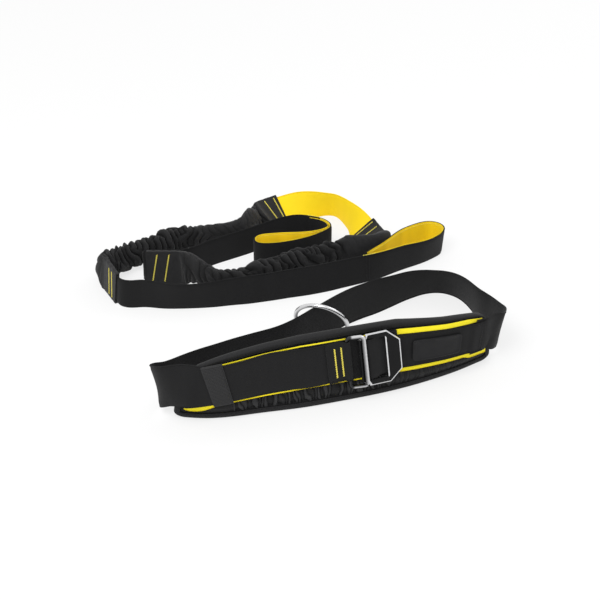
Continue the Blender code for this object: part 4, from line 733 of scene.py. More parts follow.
def pad_outline():
    """The outline in (s, z), once round, its inward directions and the chain of its left end: two
    long edges joined by slanted ends with rounded corners."""
    bend = np.radians(np.linspace(0.0, 90.0, 12))
    low, high = PAD_LOWER_RADIUS, PAD_UPPER_RADIUS

    def slant(height):
        return PAD_END_SLANT * (height / PAD_HEIGHT) ** 1.5
    bottom = [(s, 0.0) for s in np.linspace(low, PAD_LENGTH - low, EDGE_STATIONS)]
    corner = [(low * (1 - math.sin(a)) + slant(low * (1 - math.cos(a))), low * (1 - math.cos(a)))
              for a in bend[1:]]
    side = [(slant(h), h) for h in np.linspace(low, PAD_HEIGHT - high, 12)[1:-1]]
    upper = [(high * (1 - math.sin(a)) + slant(PAD_HEIGHT - high * (1 - math.cos(a))),
              PAD_HEIGHT - high * (1 - math.cos(a))) for a in bend[::-1]]
    end = corner + side + upper
    start = end[-1][0]
    top = [(s, PAD_HEIGHT)
           for s in np.linspace(PAD_LENGTH - start, start, EDGE_STATIONS)[1:-1]]
    outline = np.array(bottom + [(PAD_LENGTH - s, h) for s, h in end] + top + end[::-1])
    outline[:, 1] *= pad_top(outline[:, 0]) / PAD_HEIGHT
    steps = unit(np.roll(outline, -1, axis=0) - np.roll(outline, 1, axis=0))
    return outline, np.stack([-steps[:, 1], steps[:, 0]], -1), np.array([end[0]] + end)


outline, inward, end_chain = pad_outline()


def outline_distance(s, z):
    """Shortest distance from points to the outline's straight pieces."""
    ahead = np.roll(outline, -1, axis=0) - outline
    spots = np.stack([s.ravel(), z.ravel()], -1)[:, None] - outline
    share = np.sum(spots * ahead, axis=2) / np.sum(ahead * ahead, axis=1)
    nearest = spots - np.clip(share, 0.0, 1.0)[..., None] * ahead
    return np.linalg.norm(nearest, axis=2).min(axis=1).reshape(s.shape)


def pad_surfaces():
    """Front and back of the pad on a grid. Front = edge + crown x rise + bulge + pleats, where
    the crown is a smoothstep of the distance to the outline and the pleats are rounded waves of s
    that fade towards the tape and under the webbing."""
    b = np.linspace(0.0, 1.0, PAD_ROWS)[:, None]
    a = np.linspace(0.0, 1.0, PAD_COLUMNS)[None, :]
    height = b * PAD_HEIGHT
    left = np.interp(height, end_chain[:, 1], end_chain[:, 0]) + RIM_INSET
    s = left + (PAD_LENGTH - 2 * left) * a
    z = RIM_INSET + (pad_top(s) - 2 * RIM_INSET) * b
    crown = smoothstep((outline_distance(s, z) - CROWN_START) / CROWN_RAMP)
    edge = EDGE_THICKNESS / 2 + PAD_GAP + COVER_THICKNESS / 2
    rise = (FOAM_THICKNESS - EDGE_THICKNESS) / 2 * crown
    under = webbing_middle(s) - BACKING_WIDTH / 2
    share = np.clip((z - TAPE_DEPTH) / (under - TAPE_DEPTH - 0.002), 0.0, 1.0)
    near = np.minimum(s, PAD_LENGTH - s) - PAD_END_SLANT
    bulge = PAD_BULGE * np.sin(math.pi * share) * smoothstep(near / 0.030)
    strength = WEAK_PLEATS + (1 - WEAK_PLEATS) * smoothstep((PLEATS_WEAKEN - s) / 0.03)
    gathered = smoothstep((s - PLEATS_START) / 0.014) * strength \
        * smoothstep((PAD_LENGTH - PLEATS_STOP - s) / 0.03)
    drift = 1.3 * np.sin(s * 190.0) + 1.1 * np.sin(s * 77.0 + z * 90.0) \
        + 0.8 * np.sin(s * 410.0 - z * 150.0)
    turn = math.pi * (s + 0.16 * (z - 0.02)) / PLEAT_PITCH + drift
    own = 0.75 + 0.35 * np.sin(np.floor(turn / math.pi) * 2.4)
    reach = gathered * smoothstep((z - TAPE_DEPTH + 0.001) / 0.003) \
        * smoothstep((under + 0.001 - z) / 0.004)
    crest = own * np.sqrt(np.abs(np.sin(turn)) + 1e-3)
    pleats = PLEAT_DEPTH * (crest - 0.8) * reach
    # These crest values also darken the nylon's colour in the valleys, as painted shade.
    crest = 0.55 + (np.clip(crest, 0.0, 1.0) - 0.55) * reach
    ripple = 0.00025 * np.sin(s * 330.0 + 2 * np.sin(z * 150.0)) * crown \
        * smoothstep((z - under - BACKING_WIDTH) / 0.002)
    front = edge + rise + COVER_THICKNESS / 2 + bulge * crown + pleats + ripple
    dimple = 0.00035 * np.sin(s * 210.0) * np.sin(z * 260.0) * crown
    back = -(edge + rise + COVER_THICKNESS / 2 + dimple)
    return s, z, front, back, crest


def nylon_paint():
    """Thin plain woven nylon: two crossed sines of the weave, with soft creases, and painted shade
    in the pleats' valleys.
    """
    paint = Paint("pad_front_nylon", Sheen_Weight=0.04, Sheen_Roughness=0.4,
                  Specular_IOR_Level=0.16)
    along, across = paint.weave_map()
    grid = along.wave(NYLON_PITCH) * across.wave(NYLON_PITCH)
    creases = paint.noise(paint.place((1.0, 1.0, 0.4)), 260.0, 4.0, 0.6)
    cloudy = paint.noise(paint.place(), 45.0, 2.0)
    tone = 0.25 * grid + 0.5 * creases + 0.4 * cloudy
    # Painted shade: the colour darkens from the pleats' crests down to their valleys.
    fold = paint.ramp(paint.crest(), (0.25, 0.05), (0.55, 0.32), (0.92, 1.0))
    paint.set("Base Color", paint.mix(tone * fold, (0.0035, 0.0035, 0.0038, 1.0),
                                      (0.062, 0.062, 0.064, 1.0)))
    paint.set("Roughness", 0.60 + 0.2 * creases)
    paint.bump(creases + 0.1 * grid, 0.0005, 0.6)
    return paint.material


def mesh_paint():
    """Spacer mesh: rounded holes at the cells of a Voronoi pattern."""
    paint = Paint("pad_back_mesh", Sheen_Weight=0.2, Specular_IOR_Level=0.3)
    along, across = paint.weave_map()
    spot = paint.node("ShaderNodeCombineXYZ", {}, {0: along, 1: across})
    cell = paint.node("ShaderNodeTexVoronoi", {}, {"Vector": spot, "Scale": 420.0,
                                                   "Randomness": 0.25}, "Distance")
    hole = paint.ramp(cell, (0.22, 0.0), (0.42, 1.0))
    paint.set("Base Color", paint.mix(hole, (0.004, 0.004, 0.004, 1.0),
                                      (0.028, 0.028, 0.029, 1.0)))
    paint.set("Roughness", 0.8)
    paint.bump(hole, 0.0007, 0.8)
    return paint.material


s, z, front, back, pad_crest = pad_surfaces()
pad_uv = np.stack([s, z], -1).reshape(-1, 2)
grid_size = PAD_ROWS * PAD_COLUMNS
front_faces = quads(PAD_ROWS, PAD_COLUMNS, closed_columns=False, flipped=True)
back_faces = quads(PAD_ROWS, PAD_COLUMNS, start=grid_size, closed_columns=False)
rim = np.concatenate([np.arange(PAD_COLUMNS), np.arange(2, PAD_ROWS + 1) * PAD_COLUMNS - 1,
                      grid_size - 2 - np.arange(PAD_COLUMNS - 1),
                      np.arange(PAD_ROWS - 2, 0, -1) * PAD_COLUMNS])
after = np.roll(rim, -1)
rim_faces = np.stack([after, rim, rim + grid_size, after + grid_size], -1).tolist()
pad = loose_mesh("waist_pad", np.stack([on_belt(s, front, z), on_belt(s, back, z)]),
                 front_faces + back_faces + rim_faces, [nylon_paint(), mesh_paint()],
                 np.vstack([pad_uv, pad_uv]),
                 [0] * len(front_faces) + [1] * (len(back_faces) + len(rim_faces)), sharp=70.0,
                 crest=np.concatenate([pad_crest.ravel(), np.ones(grid_size)]))
dress(pad, "belt", "black_cloth", "pad_foam", "pad_front_cover", "pad_back_cover")


# Edge tape of the pad
# A woven tape folded over the pad's edge all the way round and sewn through with black thread
# near its inner edges.

TAPE_RIB_PITCH = 0.0014
TAPE_SEAM_INSET = 0.0016
FINE_THREAD = 0.0003


def tape_paint():
    """Grosgrain tape: fine ribs across its length."""
    paint = Paint("edge_tape", Sheen_Weight=0.05, Specular_IOR_Level=0.18)
    along, _ = paint.weave_map()
    ribs = along.wave(TAPE_RIB_PITCH)
    cloudy = paint.noise(paint.place(), 60.0, 3.0)
    paint.set("Base Color", paint.mix(0.5 + 0.2 * ribs + 0.5 * (cloudy - 0.5),
                                      (0.008, 0.008, 0.0085, 1.0), (0.018, 0.018, 0.019, 1.0)))
    paint.set("Roughness", 0.62 + 0.15 * cloudy)
    paint.bump(ribs + cloudy, 0.00018, 0.7)
    return paint.material


def tape_section():
    """Outline of the folded tape as (depth from the edge, w): a rounded nose and two legs."""
    nose = np.radians(np.linspace(-90.0, 90.0, 9))
    radius = TAPE_HALF - 0.0004
    nose_depth = radius * 0.55
    outer = [(nose_depth * (1 - math.cos(a)), TAPE_HALF * math.sin(a)) for a in nose]
    legs = [(TAPE_DEPTH * 0.6, TAPE_HALF), (TAPE_DEPTH - 0.0006, TAPE_HALF - 0.0001),
            (TAPE_DEPTH, TAPE_HALF - 0.0005), (TAPE_DEPTH - 0.0003, TAPE_HALF - TAPE_WALL)]
    inner = [(TAPE_DEPTH * 0.5, TAPE_HALF - TAPE_WALL), (0.0018, TAPE_HALF - 1.3 * TAPE_WALL)]
    half = legs + inner
    return np.array(outer + half + [(d, -w) for d, w in half[::-1]])


section = tape_section()
depth, width = section[:, 0], section[:, 1]
tape_s = outline[:, None, 0] + inward[:, None, 0] * depth[None, :]
tape_z = outline[:, None, 1] + inward[:, None, 1] * depth[None, :]
tape_rings = on_belt(tape_s, np.broadcast_to(width, tape_s.shape), tape_z)
tape_u = np.broadcast_to(chord_lengths(outline)[:, None], tape_s.shape)
tape_v = np.broadcast_to(np.abs(chord_lengths(section) - chord_lengths(section)[-1] / 2),
                         tape_s.shape)
tape = loose_mesh("pad_edge_tape", tape_rings, quads(*tape_s.shape, closed_rows=True),
                  [tape_paint()], np.stack([tape_u, tape_v], -1))
dress(tape, "belt", "edge_binding", "pad_edge_binding")

tape_seams = []
closed = np.vstack([outline, outline[:1]])
closed_in = np.vstack([inward, inward[:1]])
seam_line = closed + closed_in * (TAPE_DEPTH - TAPE_SEAM_INSET)
for side in (1, -1):
    line = on_belt(seam_line[:, 0], side * TAPE_HALF, seam_line[:, 1])
    beyond = on_belt(seam_line[:, 0], side * (TAPE_HALF + 0.001), seam_line[:, 1])
    tape_seams.append(seam(line, unit(beyond - line)))
thread("tape_stitches", tape_seams, black_thread, "belt", "edge_binding", FINE_THREAD)


# Webbings sewn on the pad
# A yellow backing webbing runs along the pad. On its right half a narrower black webbing leaves a
# yellow stripe above and below, and covers the long strap's start with a double seam.

BACKING_START = 0.036 * PAD_LENGTH
RIGHT_WEBBING_WIDTH = 0.042
RIGHT_WEBBING_START_U = 0.0404
PLATE_BODY_START = 0.002
PLATE_BODY_LENGTH = 0.0385
UNDERLAP_STEP = 0.007
STRAP_UNDERLAP = 0.014
BACKING_TOP_GAP = 0.0030
# How much the backing's lower edge sags near its start and at its end, and where that is
START_SAG = 0.0042
START_SAG_LENGTH = 0.036
END_SAG = 0.0034
END_SAG_PLACE = 0.336
END_SEAM_STEPS = (0.0022, 0.0062)
END_SEAM_HALF = 0.019
EDGE_SEAM_INSET = 0.0022


def belt_strip(name, low, high, w, paint):
    """A webbing on the belt between two edges (s, z): its section spans from one to the other."""
    (s_low, z_low), (s_high, z_high) = low, high
    out, across = webbing_section(1.0, WEBBING).T
    share = np.clip(across + 0.5, 0.0, 1.0)
    s = s_low[:, None] + (s_high - s_low)[:, None] * share
    z = z_low[:, None] + (z_high - z_low)[:, None] * share
    rings = on_belt(s, w(s) - out[None, :], z)
    return rings_mesh(name, rings, np.stack([s, z - webbing_middle(s)], -1), paint, flipped=True)


def strip_edges(s, width):
    middle = webbing_middle(s)
    return (s, middle - width / 2), (s, middle + width / 2)


low_end = PAD_LENGTH - TAPE_DEPTH - 0.005
s_low = np.linspace(BACKING_START, low_end, 160)
fade = 3 * PAD_END_SLANT
s_high = (s_low + PAD_END_SLANT * (1 - smoothstep((s_low - BACKING_START) / fade))
          - PAD_END_SLANT * (1 - smoothstep((low_end - s_low) / fade)))
z_high = np.minimum(webbing_middle(s_high) + BACKING_WIDTH / 2, pad_top(s_high) - BACKING_TOP_GAP)
sag_share = np.clip((s_low - BACKING_START) / START_SAG_LENGTH, 0.0, 1.0)
z_low = webbing_middle(s_low) - BACKING_WIDTH / 2 - START_SAG * np.sin(math.pi * sag_share) \
    - END_SAG * smoothstep((s_low - END_SAG_PLACE) / 0.012)
backing = belt_strip("yellow_backing", (s_low, z_low), (s_high, z_high), lambda s: layer(s, 0),
                     two_tone_webbing)
dress(backing, "belt", "yellow_webbing", "yellow_backing_webbing")


def right_webbing_layer(s):
    start = STRAP_START - UNDERLAP_STEP - FIT_GAP
    return 1 + smoothstep((np.asarray(s) - start) / UNDERLAP_STEP)


right_start = BUCKLE_PLACE + RIGHT_WEBBING_START_U
right_end = STRAP_START + STRAP_UNDERLAP
s = np.linspace(right_start, right_end, 90)
shift = RIGHT_WEBBING_WIDTH / 2 * ROLL_SLOPE * (1 - smoothstep((s - right_start) / 0.040))
right_strip = belt_strip("right_webbing", strip_edges(s + shift, RIGHT_WEBBING_WIDTH)[0],
                         strip_edges(s - shift, RIGHT_WEBBING_WIDTH)[1],
                         lambda s: layer(s, right_webbing_layer(s)), black_webbing)
dress(right_strip, "belt", "black_webbing", "right_belt_webbing")

right_seams = []
for back_step in END_SEAM_STEPS:
    place_s = right_end - back_step
    middle = float(webbing_middle(place_s))
    right_seams.append(belt_seam(place_s, middle - END_SEAM_HALF, place_s,
                                 middle + END_SEAM_HALF, lambda s: layer(s, 2) + WEBBING / 2))
for side in (-1, 1):
    reach = side * (RIGHT_WEBBING_WIDTH / 2 - EDGE_SEAM_INSET)
    share = np.linspace(0.0, 1.0, 120)
    s = right_start + 0.004 + (right_end - right_start - 0.006) * share
    line = on_belt(s, layer(s, right_webbing_layer(s)) + WEBBING / 2, webbing_middle(s) + reach)
    right_seams.append(seam(line, unit(on_belt(s, 1.0, 0.0) - on_belt(s, 0.0, 0.0))))
thread("right_webbing_stitches", right_seams, black_thread, "belt", "black_webbing", FINE_THREAD)


# Rubber patch
# A small moulded patch, bare, with rounded corners and a low rim, sewn on the right webbing.

PATCH_PLACE = 0.778 * PAD_LENGTH
PATCH_LENGTH = 0.058
PATCH_HEIGHT = 0.027
PATCH_THICKNESS = 0.0015
PATCH_RIM = 0.0005
PATCH_BEVEL = 0.0003

rubber = grained_paint("patch_rubber", (0.008, 0.008, 0.0085, 1.0), (0.016, 0.016, 0.017, 1.0),
                       (70.0, 2.0), (1200.0, 3.0), (0.42, 0.18), (0.0001, 0.5),
                       Specular_IOR_Level=0.16)


def patch_shell():
    """Rings that shrink from the back's edge over the rim to the middle: each ring is a rounded
    rectangle, a superellipse of power 10, at its own inset and height."""
    top, rim_top = PATCH_THICKNESS, PATCH_THICKNESS + PATCH_RIM
    insets = np.array([0.0, 0.0, PATCH_BEVEL, 0.0014, 0.0018, 0.006, 0.0125])
    heights = np.array([0.0, rim_top - PATCH_BEVEL, rim_top, rim_top, top, top, top])
    turn = full_turn(120)
    cosine, sine = np.cos(turn), np.sin(turn)
    flat = (np.abs(cosine) ** 10 + np.abs(sine) ** 10) ** -0.1
    half_s = PATCH_LENGTH / 2 - insets[:, None]
    half_z = PATCH_HEIGHT / 2 - insets[:, None]
    s = PATCH_PLACE + half_s * cosine * flat
    rise = half_z * sine * flat
    w = layer(s, 1) + WEBBING / 2 + PAD_GAP + heights[:, None]
    return on_belt(s, w, webbing_middle(s) + rise)


patch = rings_mesh("bare_patch", patch_shell(), None, rubber, sharp=50.0, flipped=True)
dress(patch, "belt", "black_rubber", "rubber_patch")


# Webbing loop of the plate
# A short piece of the 50 mm webbing goes round the plate's bar, up through the window and down
# under the plate, where both ends are sewn to the backing.

PLATE_THICKNESS = 0.0022
PLATE_STANDOFF = 0.0041
PLATE_BAR_U = 0.005
PLATE_BAR_DIAMETER = 0.003
PLATE_BAR_HEIGHT = PLATE_STANDOFF + PLATE_THICKNESS / 2
WINDOW_RIGHT_U = 0.0240
LOOP_TAIL_LENGTH = 0.034

centre = (PLATE_BAR_U, PLATE_BAR_HEIGHT)
radius = PLATE_BAR_DIAMETER / 2 + FIT_GAP + WEBBING / 2
tail = PLATE_BAR_U + LOOP_TAIL_LENGTH
under = PLATE_BAR_U + 2 * radius
through = WINDOW_RIGHT_U - PLATE_THICKNESS / 2
loop_profile = [(tail, LAYER_ONE), ((tail + under) / 2 + radius, LAYER_ONE)]
loop_profile += slope_profile((tail + under) / 2, LAYER_ONE, centre[0] + radius / 2,
                              centre[1] - radius)
loop_profile += arc_profile(centre, radius, -90.0, -270.0)
loop_profile += slope_profile(centre[0] + radius / 2, centre[1] + radius, through, LAYER_TWO)
loop_profile += [(through, LAYER_TWO), ((tail + through) / 2, LAYER_TWO), (tail, LAYER_TWO)]
plate_loop = webbing_along("plate_loop", Route(*profile_route(loop_profile)), STRAP_WIDTH, WEBBING,
                           black_webbing, step=0.0012)
dress(plate_loop, "belt", "black_webbing", "plate_loop_webbing")


# Buckle plate
# Stamped steel plate, painted black, with its outer cut edges polished bright; in the window only
# the right edge is, a painted highlight where light catches it. The long window lets the webbing
# in, and the narrower tongue on the left hooks behind the frame's bar.

PLATE_HEIGHT = 0.066
PLATE_CHAMFER = 0.0142
PLATE_DROP = 0.0022
PLATE_ROCK = math.radians(6.0)
AXES_NUDGE = 0.010
TONGUE_LENGTH = 0.0087
TONGUE_HEIGHT = 0.0564
TONGUE_BAR_WIDTH = 0.0052
WINDOW_HEIGHT = 0.052
HOOK_LENGTH = 0.0022
HOOK_RISE = 0.0025
HOOK_BEVEL = 0.0004
BAR_ROOT = 0.001
PLATE_BEVEL = 0.00055
EDGE_LAND = 0.0012
# How far either way from the strap bar's middle the frame's chrome is painted dark, as shade
PAINTED_SHADE_REACH = 0.0335
EDGE_DROP = 0.0004
WINDOW_LAND = 0.0014


def buckle_axes():
    """The plate's own frame on the belt, turned by the roll: origin, along, up and outward."""
    s = BUCKLE_PLACE + AXES_NUDGE
    middle = webbing_middle(s)
    level = unit(on_belt(s + AXES_NUDGE, 0.0, middle) - on_belt(s - AXES_NUDGE, 0.0, middle))
    upright = belt_up(s)
    upright = unit(upright - (upright @ level) * level)
    along = unit(level + ROLL_SLOPE * upright)
    up = unit(upright - ROLL_SLOPE * level)
    origin = on_belt(s, backing_face(s), middle + buckle_rise(AXES_NUDGE))
    return origin - along * AXES_NUDGE, along, up, np.cross(along, up)


BUCKLE_ORIGIN, BUCKLE_ALONG, BUCKLE_UP, BUCKLE_OUT = buckle_axes()


def buckle_points(u, v, h):
    u, v, h = np.broadcast_arrays(u, v, h)
    return (BUCKLE_ORIGIN + u[..., None] * BUCKLE_ALONG + v[..., None] * BUCKLE_UP
            + h[..., None] * BUCKLE_OUT)


def rocked_points(u, v, h):
    """Points of the plate, which lies rocked a little about its bar and hangs a little low."""
    u, v, h = np.broadcast_arrays(u, v, h)
    u, h = u - PLATE_BAR_U, h - PLATE_BAR_HEIGHT
    cosine, sine = math.cos(PLATE_ROCK), math.sin(PLATE_ROCK)
    return buckle_points(PLATE_BAR_U + u * cosine - h * sine, v - PLATE_DROP,
                         PLATE_BAR_HEIGHT + u * sine + h * cosine)


def reach_to(lines, direction, grow):
    """Distance from the centre to the nearest of the lines n . x = c + grow, along a direction."""
    reaches = []
    for n_u, n_v, c in lines:
        facing = n_u * direction[0] + n_v * direction[1]
        safe = np.where(facing > 1e-6, facing, 1.0)
        reaches.append(np.where(facing > 1e-6, (c + grow) / safe, np.inf))
    return np.min(reaches, axis=0)


def chrome_paint(name, painted_reflection, painted_shade_place=None):
    """Bright plating with faint polishing haze. On wire and bars the colour is painted darker
    towards the inner side, as a painted reflection of the black webbing. Round a given place of
    a bar's length, where the webbing is folded round it, the colour is painted dark as shade."""
    paint = Paint(name, Metallic=1.0)
    haze = paint.noise(paint.place((1.0, 1.0, 3.0)), 160.0, 3.0)
    tone = 0.75 + 0.35 * haze
    # Painted reflection: the base colour falls from bright on the outer side to nearly black on the
    # inner side.
    if painted_reflection:
        inward = paint.weave_map()[1]
        tone = tone * paint.ramp(inward, (0.0, 1.0), (0.34, 0.92), (0.50, 0.50), (0.66, 0.16),
                                 (1.0, 0.08))
    # Painted shade: near the given place the base colour is nearly black, where the folded webbing
    # shades the bar.
    if painted_shade_place is not None:
        stretch = 10.0
        away = (paint.weave_map()[0] - painted_shade_place).math("ABSOLUTE")
        edge = PAINTED_SHADE_REACH * stretch
        tone = tone * paint.ramp(away * stretch, (edge, 0.05), (edge + 0.02, 1.0))
    paint.set("Base Color", paint.mix(tone, (0.02, 0.02, 0.021, 1.0), (0.74, 0.74, 0.75, 1.0)))
    paint.set("Roughness", 0.16 + 0.14 * haze)
    paint.bump(haze, 0.00004, 0.4)
    return paint.material


polished_edge = chrome_paint("polished_edge", False)
plate_black = grained_paint("plate_black", (0.003, 0.003, 0.0032, 1.0), (0.007, 0.007, 0.0075, 1.0),
                            (60.0, 3.0), (900.0, 3.0), (0.40, 0.18), (0.00006, 0.5),
                            Specular_IOR_Level=0.14)
tongue_end = PLATE_BODY_START - TONGUE_LENGTH
window_left = tongue_end + TONGUE_BAR_WIDTH
plate_centre = (window_left + WINDOW_RIGHT_U) / 2
half_plate = PLATE_HEIGHT / 2
right_edge = PLATE_BODY_START + PLATE_BODY_LENGTH - plate_centre
root_half = math.sqrt(0.5)
body_lines = [(1, 0, right_edge), (-1, 0, plate_centre - PLATE_BODY_START), (0, 1, half_plate),
              (0, -1, half_plate),
              (root_half, root_half, (right_edge + half_plate - PLATE_CHAMFER) * root_half),
              (root_half, -root_half, (right_edge + half_plate - PLATE_CHAMFER) * root_half)]
tongue_lines = [(-1, 0, plate_centre - tongue_end), (0, 1, TONGUE_HEIGHT / 2),
                (0, -1, TONGUE_HEIGHT / 2), (1, 0, 0.004)]
window_lines = [(-1, 0, plate_centre - window_left), (1, 0, WINDOW_RIGHT_U - plate_centre),
                (0, 1, WINDOW_HEIGHT / 2), (0, -1, WINDOW_HEIGHT / 2)]
corner_points = [(right_edge, half_plate - PLATE_CHAMFER), (right_edge - PLATE_CHAMFER, half_plate),
                 (PLATE_BODY_START - plate_centre, half_plate),
                 (PLATE_BODY_START - plate_centre, TONGUE_HEIGHT / 2),
                 (tongue_end - plate_centre, TONGUE_HEIGHT / 2),
                 (WINDOW_RIGHT_U - plate_centre, WINDOW_HEIGHT / 2),
                 (window_left - plate_centre, WINDOW_HEIGHT / 2)]
corner_angles = np.array([math.atan2(v * sign, u) for u, v in corner_points for sign in (1, -1)])
angles = np.sort(np.concatenate([corner_angles, corner_angles + 2e-4,
                                 np.linspace(-math.pi, math.pi, 61)[:-1]]))
ray = (np.cos(angles), np.sin(angles))
half = PLATE_THICKNESS / 2
plate_rings = []
for grow, height in ((-PLATE_BEVEL, -half), (0.0, PLATE_BEVEL - half), (0.0, half - EDGE_DROP),
                     (-EDGE_LAND, half)):
    reach = np.maximum(reach_to(body_lines, ray, grow), reach_to(tongue_lines, ray, grow))
    plate_rings.append((reach, height))
landed = [(n_u, n_v, c + (WINDOW_LAND if n_u == 1 else EDGE_DROP)) for n_u, n_v, c in window_lines]
plate_rings.append((reach_to(landed, ray, 0.0), half))
for grow, height in ((0.0, half - EDGE_DROP), (0.0, PLATE_BEVEL - half), (PLATE_BEVEL, -half)):
    plate_rings.append((reach_to(window_lines, ray, grow), height))
plate_points = np.stack([rocked_points(plate_centre + reach * ray[0], reach * ray[1],
                                       PLATE_BAR_HEIGHT + height)
                         for reach, height in plate_rings])
plate_faces = quads(len(plate_rings), len(angles), closed_rows=True, flipped=True)
window_corner = math.atan2(WINDOW_HEIGHT / 2, WINDOW_RIGHT_U - plate_centre)
# Painted highlight: of the window's edges only the right one takes the polished material.
window_right = (np.abs(angles) < window_corner - 1e-4).astype(int)
bright = np.ones(len(angles), int)
black = np.zeros(len(angles), int)
plate_kinds = np.concatenate([bright] * 3 + [black] + [window_right] * 3 + [black]).tolist()


def block(low, high, bevel):
    """Rings of a box over v and h, from low u to high u, with bevelled edges at both ends."""
    v = np.array([-1.0, -1.0, 1.0, 1.0])
    h = np.array([-1.0, 1.0, 1.0, -1.0])
    middle = (np.array(low) + np.array(high)) / 2
    reach = (np.array(high) - np.array(low)) / 2
    rings = []
    for u, inset in ((low[0], bevel), (low[0] + bevel, 0.0), (high[0] - bevel, 0.0),
                     (high[0], bevel)):
        rings.append(rocked_points(u, middle[1] + v * (reach[1] - inset),
                                   middle[2] + h * (reach[2] - inset)))
    return np.array(rings)


hook = block((tongue_end, -TONGUE_HEIGHT / 2, PLATE_BAR_HEIGHT),
             (tongue_end + HOOK_LENGTH, TONGUE_HEIGHT / 2, PLATE_BAR_HEIGHT + half + HOOK_RISE),
             HOOK_BEVEL)
turn = full_turn(20)
bar_half = WINDOW_HEIGHT / 2 + BAR_ROOT
bar = rocked_points(PLATE_BAR_U + PLATE_BAR_DIAMETER / 2 * np.cos(turn)[None, :],
                    np.array([[-bar_half], [bar_half]]),
                    PLATE_BAR_HEIGHT + PLATE_BAR_DIAMETER / 2 * np.sin(turn)[None, :])
points = plate_points.reshape(-1, 3)
for rings in (hook, bar):
    plate_faces += ring_faces(*rings.shape[:2], start=len(points))
    points = np.vstack([points, rings.reshape(-1, 3)])
plate_kinds += [0] * (len(plate_faces) - len(plate_kinds))
plate = loose_mesh("hook_plate", points, plate_faces, [plate_black, polished_edge],
                   kinds=plate_kinds, sharp=25.0)
dress(plate, "buckle_plate", "black_steel", "buckle_plate")


# Buckle frame
# A plated steel frame: flat sides, a thick round bar that the plate hooks behind, and a thinner
# bar that the long strap is folded round.

FRAME_HEIGHT = 0.066
FRAME_SIDE_WIDTH = 0.0030
FRAME_SIDE_THICKNESS = 0.0034
HOOK_BAR_DIAMETER = 0.0054
HOOK_SEAT_GAP = 0.0005
FRAME_CORNER = 0.0032
CORNER_BULGE = 0.207

frame_radius = STRAP_BAR_DIAMETER / 2 + FIT_GAP + WEBBING / 2
hinge = profile_route([(STRAP_BAR_U, LAYER_ONE + frame_radius)] * 2)[0][0]
seat = PLATE_BAR_HEIGHT + PLATE_THICKNESS / 2 - (PLATE_BAR_U - HOOK_BAR_U) * math.sin(PLATE_ROCK)
hook_bar = buckle_points(HOOK_BAR_U, 0.0, seat + HOOK_SEAT_GAP + HOOK_BAR_DIAMETER / 2)
bar_to_bar = hook_bar - hinge
bar_to_bar = bar_to_bar - (bar_to_bar @ BUCKLE_UP) * BUCKLE_UP
frame_span = float(np.linalg.norm(bar_to_bar))
FRAME_ALONG = bar_to_bar / frame_span
FRAME_OUT = np.cross(FRAME_ALONG, BUCKLE_UP)


def towards_inside(turn):
    """0 on a wire's outer side and 1 on its inner side."""
    return 1 - np.abs(turn / math.pi - 1)


def frame_surface():
    """A section carried round a rounded rectangle. It is an ellipse of power 2 on the bars and of
    power 6 on the sides, and the bars' thickness runs over into each other along them."""
    steps = np.linspace(0.0, 1.0, 45)
    half_v = (FRAME_HEIGHT - FRAME_SIDE_WIDTH) / 2
    corner = FRAME_CORNER
    legs = [((frame_span, -half_v + corner), (frame_span, half_v - corner)),
            ((frame_span - corner, half_v), (corner, half_v)),
            ((0.0, half_v - corner), (0.0, -half_v + corner)),
            ((corner, -half_v), (frame_span - corner, -half_v))]
    line, flat = [], []
    for k, (start, end) in enumerate(legs):
        start, end = np.array(start), np.array(end)
        line.append(start + (end - start) * steps[:, None])
        flat.append(np.full(len(steps), float(k % 2)))
        after = np.array(legs[(k + 1) % 4][0])
        middle = end + (after - end) * 0.5 + unit(np.array([
            (end + after)[0] / 2 - frame_span / 2,
            (end + after)[1] / 2])[None])[0] * corner * CORNER_BULGE
        line.append(np.array([middle]))
        flat.append(np.array([0.5]))
    line, flat = np.vstack(line), np.concatenate(flat)
    ahead = unit(np.roll(line, -1, axis=0) - np.roll(line, 1, axis=0))
    outer = np.stack([ahead[:, 1], -ahead[:, 0]], -1)
    share = np.clip(line[:, 0] / frame_span, 0.0, 1.0)
    bar = STRAP_BAR_DIAMETER + (HOOK_BAR_DIAMETER - STRAP_BAR_DIAMETER) * share
    half_wide = (bar * (1 - flat) + FRAME_SIDE_WIDTH * flat) / 2
    half_thick = (bar * (1 - flat) + FRAME_SIDE_THICKNESS * flat) / 2
    power = (2 + 4 * flat)[:, None]
    turn = full_turn(24)
    cosine, sine = np.cos(turn)[None, :], np.sin(turn)[None, :]
    full = (np.abs(cosine) ** power + np.abs(sine) ** power) ** (-1 / power)
    across = half_wide[:, None] * cosine * full
    height = half_thick[:, None] * sine * full
    plane = line[:, None] + across[..., None] * outer[:, None]
    rings = hinge + plane[..., :1] * FRAME_ALONG + plane[..., 1:2] * BUCKLE_UP \
        + height[..., None] * FRAME_OUT
    return rings, uv_grid(chord_lengths(line), towards_inside(turn))


frame_rings, frame_uv = frame_surface()
# The strap bar's middle along the frame: round it the chrome is painted dark, as shade under the
# folded webbing.
bar_place = (frame_uv[-1, 0, 0] + FRAME_HEIGHT - FRAME_SIDE_WIDTH) / 2 - FRAME_CORNER
frame_chrome = chrome_paint("frame_chrome", True, float(bar_place))
chrome_frame = loose_mesh("chrome_frame", frame_rings,
                          quads(*frame_rings.shape[:2], closed_rows=True), [frame_chrome], frame_uv)
dress(chrome_frame, "buckle_frame", "chrome", "buckle_frame")


# Elastic keeper
# A loop of ribbed elastic, as wide as the strap needs, that holds the long strap on the pad.

KEEPER_GAP = 0.0006
KEEPER_SLACK = 0.0018
KEEPER_WIDTH = 0.0205
KEEPER_SLANT = 0.20
RIB_PITCH = 0.0019
RIB_HEIGHT = 0.00012
CORD_PITCH = 0.0016


